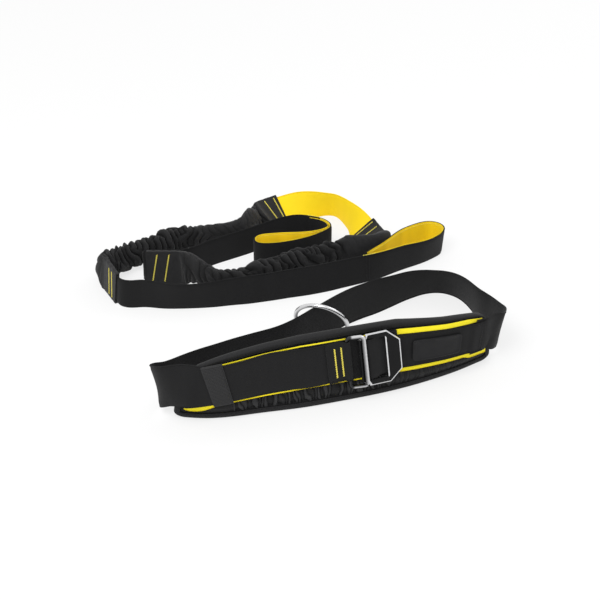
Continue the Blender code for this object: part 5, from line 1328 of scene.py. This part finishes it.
def elastic_paint():
    paint = Paint("keeper_elastic", Sheen_Weight=0.05, Specular_IOR_Level=0.15)
    along, across = paint.weave_map()
    ribs = along.wave(RIB_PITCH)
    cords = across.wave(CORD_PITCH)
    fine = paint.noise(paint.place(), 500.0, 2.0)
    paint.set("Base Color", paint.mix(0.5 + 0.3 * ribs + 0.15 * cords,
                                      (0.013, 0.013, 0.0135, 1.0), (0.034, 0.034, 0.035, 1.0)))
    paint.set("Roughness", 0.7 + 0.15 * fine)
    paint.bump(ribs + 0.4 * cords, 0.00025, 0.8)
    return paint.material


def keeper_surface():
    """A band's section carried round a flat loop about the strap: the loop is a superellipse of
    power 6 in (w, z), and its thickness swells with the ribs round the loop."""
    turn = full_turn(320)
    half_w = (WEBBING + KEEPER_THICKNESS) / 2 + KEEPER_GAP
    half_z = (STRAP_WIDTH + KEEPER_THICKNESS) / 2 + KEEPER_SLACK
    full = (np.abs(np.cos(turn)) ** 6 + np.abs(np.sin(turn)) ** 6) ** (-1 / 6)
    w, z = half_w * np.cos(turn) * full, half_z * np.sin(turn) * full
    ahead = unit(np.stack([np.roll(w, -1) - np.roll(w, 1), np.roll(z, -1) - np.roll(z, 1)], -1))
    out_w, out_z = ahead[:, 1], -ahead[:, 0]
    arc = np.concatenate([[0.0], np.cumsum(np.hypot(np.diff(w), np.diff(z)))])
    rib = 1 + RIB_HEIGHT / KEEPER_THICKNESS * np.sin(2 * math.pi * arc / RIB_PITCH)
    out, across = webbing_section(KEEPER_WIDTH, KEEPER_THICKNESS * 0.92).T
    s = KEEPER_PLACE + across[None, :] - KEEPER_SLANT * z[:, None]
    centre = backing_face(s) + LAYER_ONE + KEEPER_ROOM
    lift = out[None, :] * rib[:, None]
    rings = on_belt(s, centre + w[:, None] + out_w[:, None] * lift,
                    webbing_middle(s) + STRAP_RISE + z[:, None] + out_z[:, None] * lift)
    return rings, uv_grid(arc, across)


keeper_rings, keeper_uv = keeper_surface()
keeper_faces = quads(*keeper_rings.shape[:2], closed_rows=True, flipped=True)
keeper = loose_mesh("ribbed_keeper", keeper_rings, keeper_faces, [elastic_paint()], keeper_uv)
dress(keeper, "belt", "black_elastic", "elastic_keeper")


# Glide ring
# Round steel wire bent into a ring, butt welded and plated. A line or leash clips on to it.

WELD_HEIGHT = 0.05
WELD_ANGLE = 3.9

normal = np.array([math.cos(RING_TURN) * math.cos(RING_TILT),
                   math.sin(RING_TURN) * math.cos(RING_TILT), math.sin(RING_TILT)])
level = unit(np.cross(UP, normal))
upward = np.cross(normal, level)
around = full_turn(144)
tube = full_turn(28)
outer = np.cos(around)[:, None] * level + np.sin(around)[:, None] * upward
weld = 1 + WELD_HEIGHT * np.exp(-((around - WELD_ANGLE) / 0.035) ** 2)
ring_points = (ring_centre + RING_RADIUS * outer[:, None]
               + RING_WIRE / 2 * weld[:, None, None]
               * (np.cos(tube)[None, :, None] * outer[:, None]
                  + np.sin(tube)[None, :, None] * normal))
# The ring's chrome is painted darker towards the wire's inner side, a painted reflection.
ring = loose_mesh("steel_ring", ring_points, quads(len(around), len(tube), closed_rows=True),
                  [chrome_paint("chrome", True)],
                  uv_grid(around * RING_RADIUS, towards_inside(tube)))
dress(ring, "glide_ring", "chrome", "glide_ring")


# Leash straps and hand loops
# Two straps of 38 mm black webbing. Each starts in a sleeve's sewn tab and ends in a hand loop
# that is lined with yellow webbing, whose edge shows as a thin line.

LEASH_SPREAD = 0.500
LEASH_WIDTH = 0.038
LINING = 0.0012
LINING_SETBACK = 0.012
LINING_SEAM_INSET = 0.0024
LINING_SEAM_END = 0.002
STEM_SEAM_STEPS = (0.005, 0.009)
TACK_BEFORE = 0.013
TACK_AFTER = 0.004
TACK_THREAD = 0.0005
TAB_LENGTH = 0.042
TAB_HEIGHT = 0.044
TAB_THICKNESS = 0.0056
TAB_WEBBING_DEPTH = 0.025

# Lower edge from above, lift in a tab, and lean to the left of the webbing's travel
LEFT_STRAP_SHARES = [
    (-0.494, 0.056, 1, 6), (-0.474, 0.018, 1, 5), (-0.456, -0.016, 1, 4),
    (-0.442, -0.032, 0.6, 4), (-0.416, -0.036, 0, 5), (-0.392, -0.034, 0, 6),
    (-0.338, -0.040, 0, 0), (-0.282, -0.040, 0, -6), (-0.228, -0.036, 0, -2),
    (-0.174, -0.026, 0, 4), (-0.120, -0.016, 0, 8), (-0.066, -0.002, 0, 10),
    (-0.012, 0.014, 0, 12), (0.042, 0.030, 0, 13), (0.096, 0.052, 0, 12), (0.152, 0.078, 0, 8),
    (0.208, 0.108, 0, 1), (0.262, 0.146, 0, -4), (0.318, 0.182, 0, -11),
    (0.354, 0.212, 0, -10), (0.372, 0.238, 0, -4), (0.365, 0.262, 0, 0), (0.338, 0.271, 0, 0),
    (0.306, 0.259, 0, 0), (0.262, 0.225, 0, 0), (0.232, 0.187, 0, 0), (0.208, 0.155, 0, 0),
    (0.182, 0.125, 0, 0), (0.164, 0.102, 0, 0)]
LEFT_LOOP_STEM_SHARES = (0.164, 0.085)
RIGHT_STRAP_SHARES = [
    (-0.304, 0.075, 1, -15), (-0.344, 0.075, 1, -15), (-0.378, 0.077, 1, -13),
    (-0.393, 0.087, 0.8, -7), (-0.398, 0.101, 0.5, 0), (-0.391, 0.112, 0.2, 2),
    (-0.372, 0.117, 0, 3), (-0.336, 0.117, 0, 3), (-0.294, 0.120, 0, 3), (-0.264, 0.138, 0, 3),
    (-0.234, 0.164, 0, 3), (-0.198, 0.190, 0, 2), (-0.160, 0.214, 0, 2), (-0.122, 0.240, 0, 2),
    (-0.080, 0.270, 0, 2), (-0.040, 0.294, 0, 2), (-0.006, 0.305, 0, 1), (0.022, 0.302, 0, 0),
    (0.050, 0.292, 0, 0), (0.072, 0.274, 0, 0), (0.082, 0.248, 0, 0), (0.064, 0.220, 0, 0),
    (0.026, 0.190, 0, 0), (-0.020, 0.168, 0, 0), (-0.082, 0.154, 0, 0), (-0.112, 0.161, 0, 0),
    (-0.119, 0.180, 0, 0), (-0.108, 0.198, 0, 0), (-0.084, 0.207, 0, 0), (-0.020, 0.214, 0, 0),
    (0.026, 0.220, 0, 0), (0.054, 0.231, 0, 0), (0.070, 0.248, 0, 0), (0.063, 0.266, 0, 0),
    (0.044, 0.281, 0, 0), (0.022, 0.288, 0, 0)]
RIGHT_LOOP_STEM_SHARES = (0.022, 0.302)
CONNECTOR_SHARES = [
    (-0.094, 0.352, 1, 57), (-0.024, 0.404, 1, 55), (0.010, 0.416, 0.3, 32),
    (0.050, 0.432, 0, 4), (0.070, 0.439, 0, -6), (0.090, 0.438, 0, -8), (0.106, 0.422, 0, -4),
    (0.122, 0.384, 0, 8), (0.131, 0.342, 0.4, 27), (0.135, 0.302, 1, 51), (0.168, 0.212, 1, 51)]


def leash_route(shares):
    """A route from its lower edge; in a tab that lies on the floor the webbing is lifted."""
    shares = np.array(shares, float)
    lean = np.radians(np.abs(shares[:, 3]))
    lift = (TAB_HEIGHT - LEASH_WIDTH) / 2 * np.cos(lean) + TAB_THICKNESS / 2 * np.sin(lean)
    lower = shares[:, :3] * LEASH_SPREAD
    lower[:, 2] = shares[:, 2] * lift
    return splined(band_rows(lower, shares[:, 3], LEASH_WIDTH))


left_route = leash_route(LEFT_STRAP_SHARES)
right_route = leash_route(RIGHT_STRAP_SHARES)
connector_route = leash_route(CONNECTOR_SHARES)
inset = TAB_LENGTH - TAB_WEBBING_DEPTH
for name, node, route, end_inset, paint, slot in (
        ("left_strap_webbing", "left_strap", left_route, 0.0, black_webbing, "black_webbing"),
        ("right_strap_webbing", "right_strap", right_route, 0.0, black_webbing, "black_webbing"),
        ("connector_strap", "connector_webbing", connector_route, inset, yellow_webbing,
         "yellow_webbing")):
    strap = webbing_along(name, route.part(inset, route.length - end_inset), LEASH_WIDTH, WEBBING,
                          paint)
    dress(strap, "leash", slot, node)

lining_seams, stem_seams, tacks = [], [], []
for name, node, route, stem, side in (
        ("left_loop_lining", "left_handle_lining", left_route, LEFT_LOOP_STEM_SHARES, -1),
        ("right_loop_lining", "right_handle_lining", right_route, RIGHT_LOOP_STEM_SHARES, 1)):
    first = route.nearest(np.array(stem) * LEASH_SPREAD) + LINING_SETBACK
    last = route.length - LINING_SETBACK
    inside = (WEBBING + LINING) / 2 + FIT_GAP
    lined = route.offset(side * inside).part(first, last)
    lining = webbing_along(name, lined, LEASH_WIDTH, LINING, painted_shade_lining_webbing)
    dress(lining, "leash", "yellow_webbing", node)
    for edge in (1, -1):
        places = np.linspace(LINING_SEAM_END, lined.length - LINING_SEAM_END, 200)
        points, ups, sides = lined.read(places)
        rise = edge * (LEASH_WIDTH / 2 - LINING_SEAM_INSET)
        lining_seams.append(seam(points + ups * rise + sides * side * LINING / 2, sides * side))
    places = np.linspace(first - TACK_BEFORE, first + TACK_AFTER, 12)
    points, ups, sides = route.read(places)
    tacks.append(seam(points + ups * (LEASH_WIDTH / 2 - 0.0002), ups))
    for back_step in STEM_SEAM_STEPS:
        points, ups, sides = route.read([first - back_step])
        share = np.linspace(-0.44, 0.44, 20)[:, None] * LEASH_WIDTH
        for face in (1, -1):
            stem_seams.append(seam(points + ups * share + sides * face * WEBBING / 2,
                                   np.repeat(sides * face, 20, axis=0)))
thread("lining_stitches", lining_seams, yellow_thread, "leash", "yellow_webbing", FINE_THREAD)
thread("stem_stitches", stem_seams, black_thread, "leash", "black_webbing", FINE_THREAD)
thread("loop_tacks", tacks, yellow_thread, "leash", "yellow_webbing", TACK_THREAD)


# Gathered sleeves
# A tube of plain black cloth, cut a quarter as long again as it lies, is gathered over each latex
# tube. Both ends are pressed flat over a webbing and sewn through twice with yellow thread.

SLEEVE_HEIGHT = 0.044
SLEEVE_THICKNESS = 0.026
SLEEVE_WALL = 0.0010
NECK_LENGTH = 0.020
SHORT_TAB = 0.025
SHORT_NECK = 0.013
SEWN_GAP = 0.0008
TAB_ROUNDNESS = 0.22
TAB_ROWS = 12
RUFFLE_PITCH = 0.0118
SLEEVE_SIDES = 112
CLOTH_GATHER = 1.25
MAP_GIRTH = 0.105
CLOTH_PITCH = 0.0012
SLEEVE_STEP = 0.0009
TAB_THREAD = 0.00040
TAB_SEAM_HALF_WIDTH = 0.0007

LEFT_SLEEVE_SHARES = [
    (-0.130, 0.342, -30), (-0.143, 0.313, -14), (-0.160, 0.293, -4), (-0.184, 0.279, 0),
    (-0.212, 0.268, 0), (-0.240, 0.259, 0), (-0.276, 0.244, 0), (-0.314, 0.228, 0),
    (-0.352, 0.207, 0), (-0.389, 0.181, 0), (-0.428, 0.152, 1), (-0.464, 0.124, 3),
    (-0.490, 0.090, 4)]
RIGHT_SLEEVE_SHARES = [
    (0.200, 0.198, 34), (0.189, 0.184, 16), (0.170, 0.176, 4), (0.136, 0.171, 0),
    (0.100, 0.162, 0), (0.062, 0.144, 0), (0.028, 0.126, 0), (-0.018, 0.106, 0),
    (-0.050, 0.088, 0), (-0.084, 0.070, 0), (-0.120, 0.051, 0), (-0.174, 0.030, 0),
    (-0.214, 0.034, 0), (-0.248, 0.055, -7), (-0.276, 0.073, -13)]
# Share of the sleeve's length; half height, half thickness and ruffle depth as shares of its height
LEFT_SLEEVE_FORM = [
    (0.00, 0.50, 0.25, 0.04), (0.080, 0.50, 0.24, 0.05), (0.105, 0.45, 0.24, 0.08),
    (0.125, 0.33, 0.20, 0.11), (0.155, 0.29, 0.20, 0.04), (0.36, 0.29, 0.20, 0.035),
    (0.42, 0.33, 0.24, 0.06),
    (0.48, 0.44, 0.30, 0.15), (0.58, 0.48, 0.32, 0.18), (0.66, 0.44, 0.31, 0.16),
    (0.76, 0.46, 0.32, 0.16), (0.84, 0.52, 0.36, 0.17), (0.90, 0.54, 0.34, 0.13),
    (1.00, 0.50, 0.25, 0.06)]
RIGHT_SLEEVE_FORM = [
    (0.00, 0.50, 0.22, 0.02), (0.11, 0.50, 0.24, 0.02), (0.20, 0.50, 0.25, 0.015),
    (0.275, 0.52, 0.29, 0.02), (0.300, 0.40, 0.25, 0.13), (0.34, 0.45, 0.31, 0.17),
    (0.48, 0.47, 0.32, 0.18), (0.60, 0.42, 0.30, 0.16), (0.68, 0.34, 0.26, 0.12),
    (0.74, 0.30, 0.24, 0.08), (0.80, 0.38, 0.26, 0.07), (0.86, 0.48, 0.26, 0.06),
    (1.00, 0.50, 0.25, 0.03)]


def sleeve_route(before, shares, after):
    shares = np.array(shares, float)
    lean = np.radians(shares[:, 2])
    drop = SLEEVE_HEIGHT / 2 * np.cos(lean) + SLEEVE_THICKNESS / 2 * np.abs(np.sin(lean))
    middle = np.stack([shares[:, 0] * LEASH_SPREAD, shares[:, 1] * LEASH_SPREAD, drop], -1)
    own = np.hstack([middle, leaning(middle, shares[:, 2])])
    return splined(np.vstack([before, own, after]))


def tab_rows(route, start, end):
    points, ups, _ = route.read(np.linspace(start, end, TAB_ROWS))
    return np.hstack([points, ups])


def sleeve_form(places, length, is_bent):
    """Half height, half thickness, ruffle depth and how far the section has opened to an oval."""
    near = np.minimum(places, length - places)
    opened = smoothstep((near - TAB_LENGTH * 0.9) / NECK_LENGTH)
    if not is_bent:
        opened = np.where(places < length / 2,
                          smoothstep((places - SHORT_TAB) / SHORT_NECK), opened)
    rows = np.array(RIGHT_SLEEVE_FORM if is_bent else LEFT_SLEEVE_FORM)
    high, wide, deep = (np.interp(places / length, rows[:, 0], rows[:, k]) * SLEEVE_HEIGHT
                        for k in (1, 2, 3))
    high = TAB_HEIGHT / 2 + (high - TAB_HEIGHT / 2) * opened
    wide = TAB_THICKNESS / 2 + (wide - TAB_THICKNESS / 2) * opened
    return high, wide, deep * opened, opened


def sleeve_rings(route, places, high, wide, power):
    """Rings round a route: up x high x sign(sin) |sin| ^ power + side x wide x the cosine's."""
    points, ups, sides = route.read(places)
    turn = full_turn(SLEEVE_SIDES)
    sine, cosine = np.sin(turn), np.cos(turn)
    rise = high * np.sign(sine) * np.abs(sine) ** power
    reach = wide * np.sign(cosine) * np.abs(cosine) ** power
    return points[:, None] + rise[..., None] * ups[:, None] + reach[..., None] * sides[:, None]


def puffs(phase, seed):
    """Rounded puffs with sharp valleys between them: the square root of |sin(phase / 2)|, each
    puff raised by its own share, which a sine of its number scatters between 0.6 and 1.1."""
    number = np.floor(phase / (2 * math.pi))
    own = 0.85 + 0.25 * np.sin(number * 2.4 + np.sin(number * 5.1 + seed) * 2.0 + seed)
    return own * np.sqrt(np.abs(np.sin(phase / 2)) + 1e-4)


def ruffled_sleeve(name, node, route, is_bent, seed):
    """The cloth tube, drawn in by depth x (1.08 - puffs + ridges). The puffs' phase runs along
    the sleeve unevenly and slants round it in an S; a second set with the other slant takes over in
    patches, so that folds fork and merge, and finer wrinkles lie on top."""
    length = route.length
    places = np.linspace(0.0, length, round(length / SLEEVE_STEP))
    high, wide, deep, opened = sleeve_form(places, length, is_bent)
    u = places[:, None]
    turn = full_turn(SLEEVE_SIDES)[None, :]
    drift = 2.2 * np.sin(u * 83.0 + seed) + 1.4 * np.sin(u * 151.0 + 2.1 * seed)
    first = 2 * math.pi * u / RUFFLE_PITCH + drift + 4.6 * np.sin(turn + 0.9 + seed) \
        + 1.7 * np.sin(2 * turn + u * 61.0 + seed) + 0.7 * np.sin(5 * turn + u * 90.0)
    second = 2 * math.pi * u / (RUFFLE_PITCH * 0.85) - drift - 5.2 * np.sin(turn - 0.6 + seed) \
        + 1.5 * np.sin(2 * turn - u * 47.0) + 0.6 * np.sin(4 * turn - u * 120.0)
    patch = smoothstep(0.5 + 2.2 * np.sin(u * 67.0 + 2.0 * turn + 1.7 * seed)
                       * np.sin(u * 29.0 - turn + seed))
    puff = puffs(first, seed) * (1 - patch) + puffs(second, seed + 1.3) * patch
    fine = 2 * math.pi * u / (RUFFLE_PITCH * 0.31) + 3.6 * np.sin(turn * 2 + u * 71.0 + seed)
    ridges = 0.10 * (1 - np.sqrt(np.abs(np.sin(fine / 2)))) * np.sin(u * 37.0 + 3 * turn) ** 2
    crest = np.clip(puff - ridges, 0.0, 1.0)
    fold = deep[:, None] * (1.08 - puff + ridges)
    # The crest values also darken the cloth's colour in the valleys, as painted shade.
    crest = 1 - (1 - crest) * np.clip(deep / (0.10 * SLEEVE_HEIGHT), 0.0, 1.0)[:, None]
    tab_pucker = (1 - opened)[:, None] * 0.00022 * np.sin(u * 620.0 + 2 * turn)
    fold = np.maximum(fold + tab_pucker, 0.0)
    power = (TAB_ROUNDNESS + (1 - TAB_ROUNDNESS) * opened)[:, None]
    flat_fold = 0.72 * fold
    outer = sleeve_rings(route, places, high[:, None] - fold, wide[:, None] - flat_fold, power)
    wall = SLEEVE_WALL * opened + (TAB_THICKNESS - WEBBING - 2 * SEWN_GAP) / 2 * (1 - opened)
    rim = SLEEVE_WALL * opened + (TAB_HEIGHT - LEASH_WIDTH - 2 * SEWN_GAP) / 2 * (1 - opened)
    inner = sleeve_rings(route, places, high[:, None] - fold - rim[:, None],
                         wide[:, None] - flat_fold - wall[:, None], power)
    rings = np.concatenate([outer, inner[::-1]])
    along = np.concatenate([places, places[::-1]]) * CLOTH_GATHER
    uv = uv_grid(along, MAP_GIRTH * np.abs(turn[0] / math.pi - 1))
    faces = quads(*rings.shape[:2], closed_rows=True)
    made = loose_mesh(name, rings, faces, [sleeve_cloth], uv, sharp=60.0,
                      crest=np.concatenate([crest, crest[::-1]]).ravel())
    dress(made, "leash", "black_cloth", node)


def sleeve_paint():
    """Plain woven cloth with fine wrinkles that run across the sleeve, and painted shade in the
    valleys between its gathers.
    """
    paint = Paint("sleeve_cloth", Sheen_Weight=0.08, Sheen_Roughness=0.5,
                  Specular_IOR_Level=0.16)
    along, across = paint.weave_map()
    grid = along.wave(CLOTH_PITCH) * across.wave(CLOTH_PITCH)
    wrinkles = paint.noise(paint.place((1.0, 1.0, 0.45)), 240.0, 4.0, 0.6)
    cloudy = paint.noise(paint.place(), 60.0, 3.0)
    # Painted shade: the colour darkens from the gathers' crests down to their valleys.
    fold = paint.ramp(paint.crest(), (0.30, 0.0), (0.62, 0.45), (0.95, 1.0))
    tone = (0.2 * grid + 0.6 * wrinkles + 0.3 * cloudy + 0.15) * fold
    paint.set("Base Color", paint.mix(tone, (0.0025, 0.0025, 0.0027, 1.0),
                                      (0.026, 0.026, 0.027, 1.0)))
    paint.set("Roughness", 0.68 + 0.2 * wrinkles)
    paint.bump(wrinkles + 0.12 * grid, 0.0007, 0.7)
    return paint.material


sleeve_cloth = sleeve_paint()
left_sleeve_route = sleeve_route(tab_rows(connector_route, TAB_LENGTH, 0.0), LEFT_SLEEVE_SHARES,
                                 tab_rows(left_route, 0.0, TAB_LENGTH))
right_sleeve_route = sleeve_route(
    tab_rows(connector_route, connector_route.length - TAB_LENGTH, connector_route.length),
    RIGHT_SLEEVE_SHARES, tab_rows(right_route, 0.0, TAB_LENGTH))
ruffled_sleeve("left_gathered_sleeve", "left_sleeve", left_sleeve_route, False, 0.4)
ruffled_sleeve("right_gathered_sleeve", "right_sleeve", right_sleeve_route, True, 2.2)

tab_seams = []
for route, slant, second_row in ((left_sleeve_route, -0.05, 0.0205),
                                 (right_sleeve_route, -0.17, 0.0255)):
    for place_s, tilt in ((0.0045, 0.0), (0.0170, 0.0), (route.length - 0.0105, slant),
                          (route.length - second_row, slant)):
        points, ups, sides = route.read([place_s])
        forward = np.cross(ups[0], sides[0])
        up = unit(ups[0] + tilt * forward)
        for face in (1, -1):
            skin = points[0] + sides[0] * face * (TAB_THICKNESS / 2 - 0.0001)
            tab_seams.append(zigzag(skin, up, forward, sides[0] * face, 0.40 * TAB_HEIGHT,
                                    TAB_SEAM_HALF_WIDTH))
thread("tab_stitches", tab_seams, yellow_thread, "leash", "yellow_webbing", TAB_THREAD)


# Latex tubes and their anchors
# Inside each sleeve a dipped latex tube is pushed over the barbed stems of two moulded nylon
# anchors, whose flat tongues are sewn in the tabs.

latex, nylon = (
    grained_paint(name, dark, light, (90.0, 2.0), (scale, 3.0), (rough, 0.15), (0.00008, 0.5),
                  fine_gloss=True, Specular_IOR_Level=0.45)
    for name, dark, light, scale, rough in (
        ("latex", (0.020, 0.018, 0.016, 1.0), (0.036, 0.033, 0.030, 1.0), 700.0, 0.42),
        ("nylon", (0.030, 0.030, 0.031, 1.0), (0.048, 0.048, 0.050, 1.0), 900.0, 0.45)))
TUBE_DIAMETER = 0.0110
TUBE_BORE = 0.0052
TUBE_START = 0.0623
for side, route in (("left", left_sleeve_route), ("right", right_sleeve_route)):
    places = np.linspace(TUBE_START, route.length - TUBE_START, 120)
    points, ups, sides = route.read(places)
    turn = full_turn(24)
    round_about = np.cos(turn)[None, :, None] * sides[:, None] + \
        np.sin(turn)[None, :, None] * ups[:, None]
    rings = np.concatenate([points[:, None] + TUBE_DIAMETER / 2 * round_about,
                            (points[:, None] + TUBE_BORE / 2 * round_about)[::-1]])
    hose = loose_mesh(side + "_latex_hose", rings, quads(*rings.shape[:2], closed_rows=True),
                      [latex])
    dress(hose, "leash", "latex", side + "_tube")
    for end in ("rear", "front"):
        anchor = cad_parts[side + "_" + end + "_anchor"]
        anchor.data.materials.clear()
        anchor.data.materials.append(nylon)


# Studio
# A plain white floor that keeps a soft shadow, an even white surround, a broad lamp above the
# camera, a weaker one on the far side, and the camera at the photograph's angle.

CAMERA_DISTANCE = 1.8
CAMERA_ELEVATION = math.radians(32.0)
CAMERA_LENS = 86.4
SENSOR_WIDTH = 36.0
FLOOR_SIZE = 60.0


def white_for_camera(tree, shader_socket, share, output):
    """Mixes plain white into what the camera, mirrors and glass see of a surface."""
    nodes, links = tree.nodes, tree.links
    path = nodes.new("ShaderNodeLightPath")
    total = path.outputs["Is Camera Ray"]
    for name in ("Is Glossy Ray", "Is Transmission Ray"):
        step = nodes.new("ShaderNodeMath")
        step.operation = "MAXIMUM"
        links.new(total, step.inputs[0])
        links.new(path.outputs[name], step.inputs[1])
        total = step.outputs[0]
    factor = nodes.new("ShaderNodeMath")
    factor.operation = "MULTIPLY"
    factor.inputs[1].default_value = share
    links.new(total, factor.inputs[0])
    white = nodes.new("ShaderNodeEmission")
    mix = nodes.new("ShaderNodeMixShader")
    links.new(factor.outputs[0], mix.inputs[0])
    links.new(shader_socket, mix.inputs[1])
    links.new(white.outputs[0], mix.inputs[2])
    links.new(mix.outputs[0], output)


floor_mesh = bpy.data.meshes.new("studio_floor")
reach = FLOOR_SIZE / 2
floor_mesh.from_pydata([(-reach, -reach, 0), (reach, -reach, 0), (reach, reach, 0),
                        (-reach, reach, 0)], [], [(0, 1, 2, 3)])
floor = bpy.data.objects.new("studio_floor", floor_mesh)
bpy.context.scene.collection.objects.link(floor)
floor_paint = bpy.data.materials.new("studio_white")
floor_paint.use_nodes = True
tree = floor_paint.node_tree
tree.nodes.clear()
diffuse = tree.nodes.new("ShaderNodeBsdfDiffuse")
diffuse.inputs["Color"].default_value = (0.86, 0.86, 0.86, 1.0)
floor_out = tree.nodes.new("ShaderNodeOutputMaterial")
white_for_camera(tree, diffuse.outputs[0], 0.72, floor_out.inputs["Surface"])
floor_mesh.materials.append(floor_paint)

world = bpy.data.worlds.new("studio_surround")
world.use_nodes = True
bpy.context.scene.world = world
surround = world.node_tree.nodes["Background"]
surround.inputs["Color"].default_value = (1.0, 1.0, 1.0, 1.0)
surround.inputs["Strength"].default_value = 0.80
white_for_camera(world.node_tree, surround.outputs[0], 1.0,
                 world.node_tree.nodes["World Output"].inputs["Surface"])


def soft_lamp(name, place, size, watts):
    """A round lamp that is aimed at the origin."""
    lamp = bpy.data.lights.new(name, "AREA")
    lamp.shape = "DISK"
    lamp.size = size
    lamp.energy = watts
    made = bpy.data.objects.new(name, lamp)
    bpy.context.scene.collection.objects.link(made)
    made.location = place
    made.rotation_euler = (math.acos(place[2] / np.linalg.norm(place)), 0.0,
                           math.atan2(place[1], place[0]) + math.pi / 2)


soft_lamp("key_lamp", (-0.7, -1.3, 1.9), 1.2, 30.0)
soft_lamp("fill_lamp", (1.4, 0.9, 1.6), 1.2, 8.0)

camera = bpy.data.cameras.new("photo_camera")
camera.lens = CAMERA_LENS
camera.sensor_width = SENSOR_WIDTH
camera_object = bpy.data.objects.new("photo_camera", camera)
bpy.context.scene.collection.objects.link(camera_object)
camera_object.location = (
    LAYOUT_SHIFT[0], LAYOUT_SHIFT[1] - CAMERA_DISTANCE * math.cos(CAMERA_ELEVATION),
    LAYOUT_SHIFT[2] + CAMERA_DISTANCE * math.sin(CAMERA_ELEVATION))
camera_object.rotation_euler = (math.pi / 2 - CAMERA_ELEVATION, 0.0, 0.0)
bpy.context.scene.camera = camera_object
bpy.context.scene.view_settings.view_transform = "Standard"
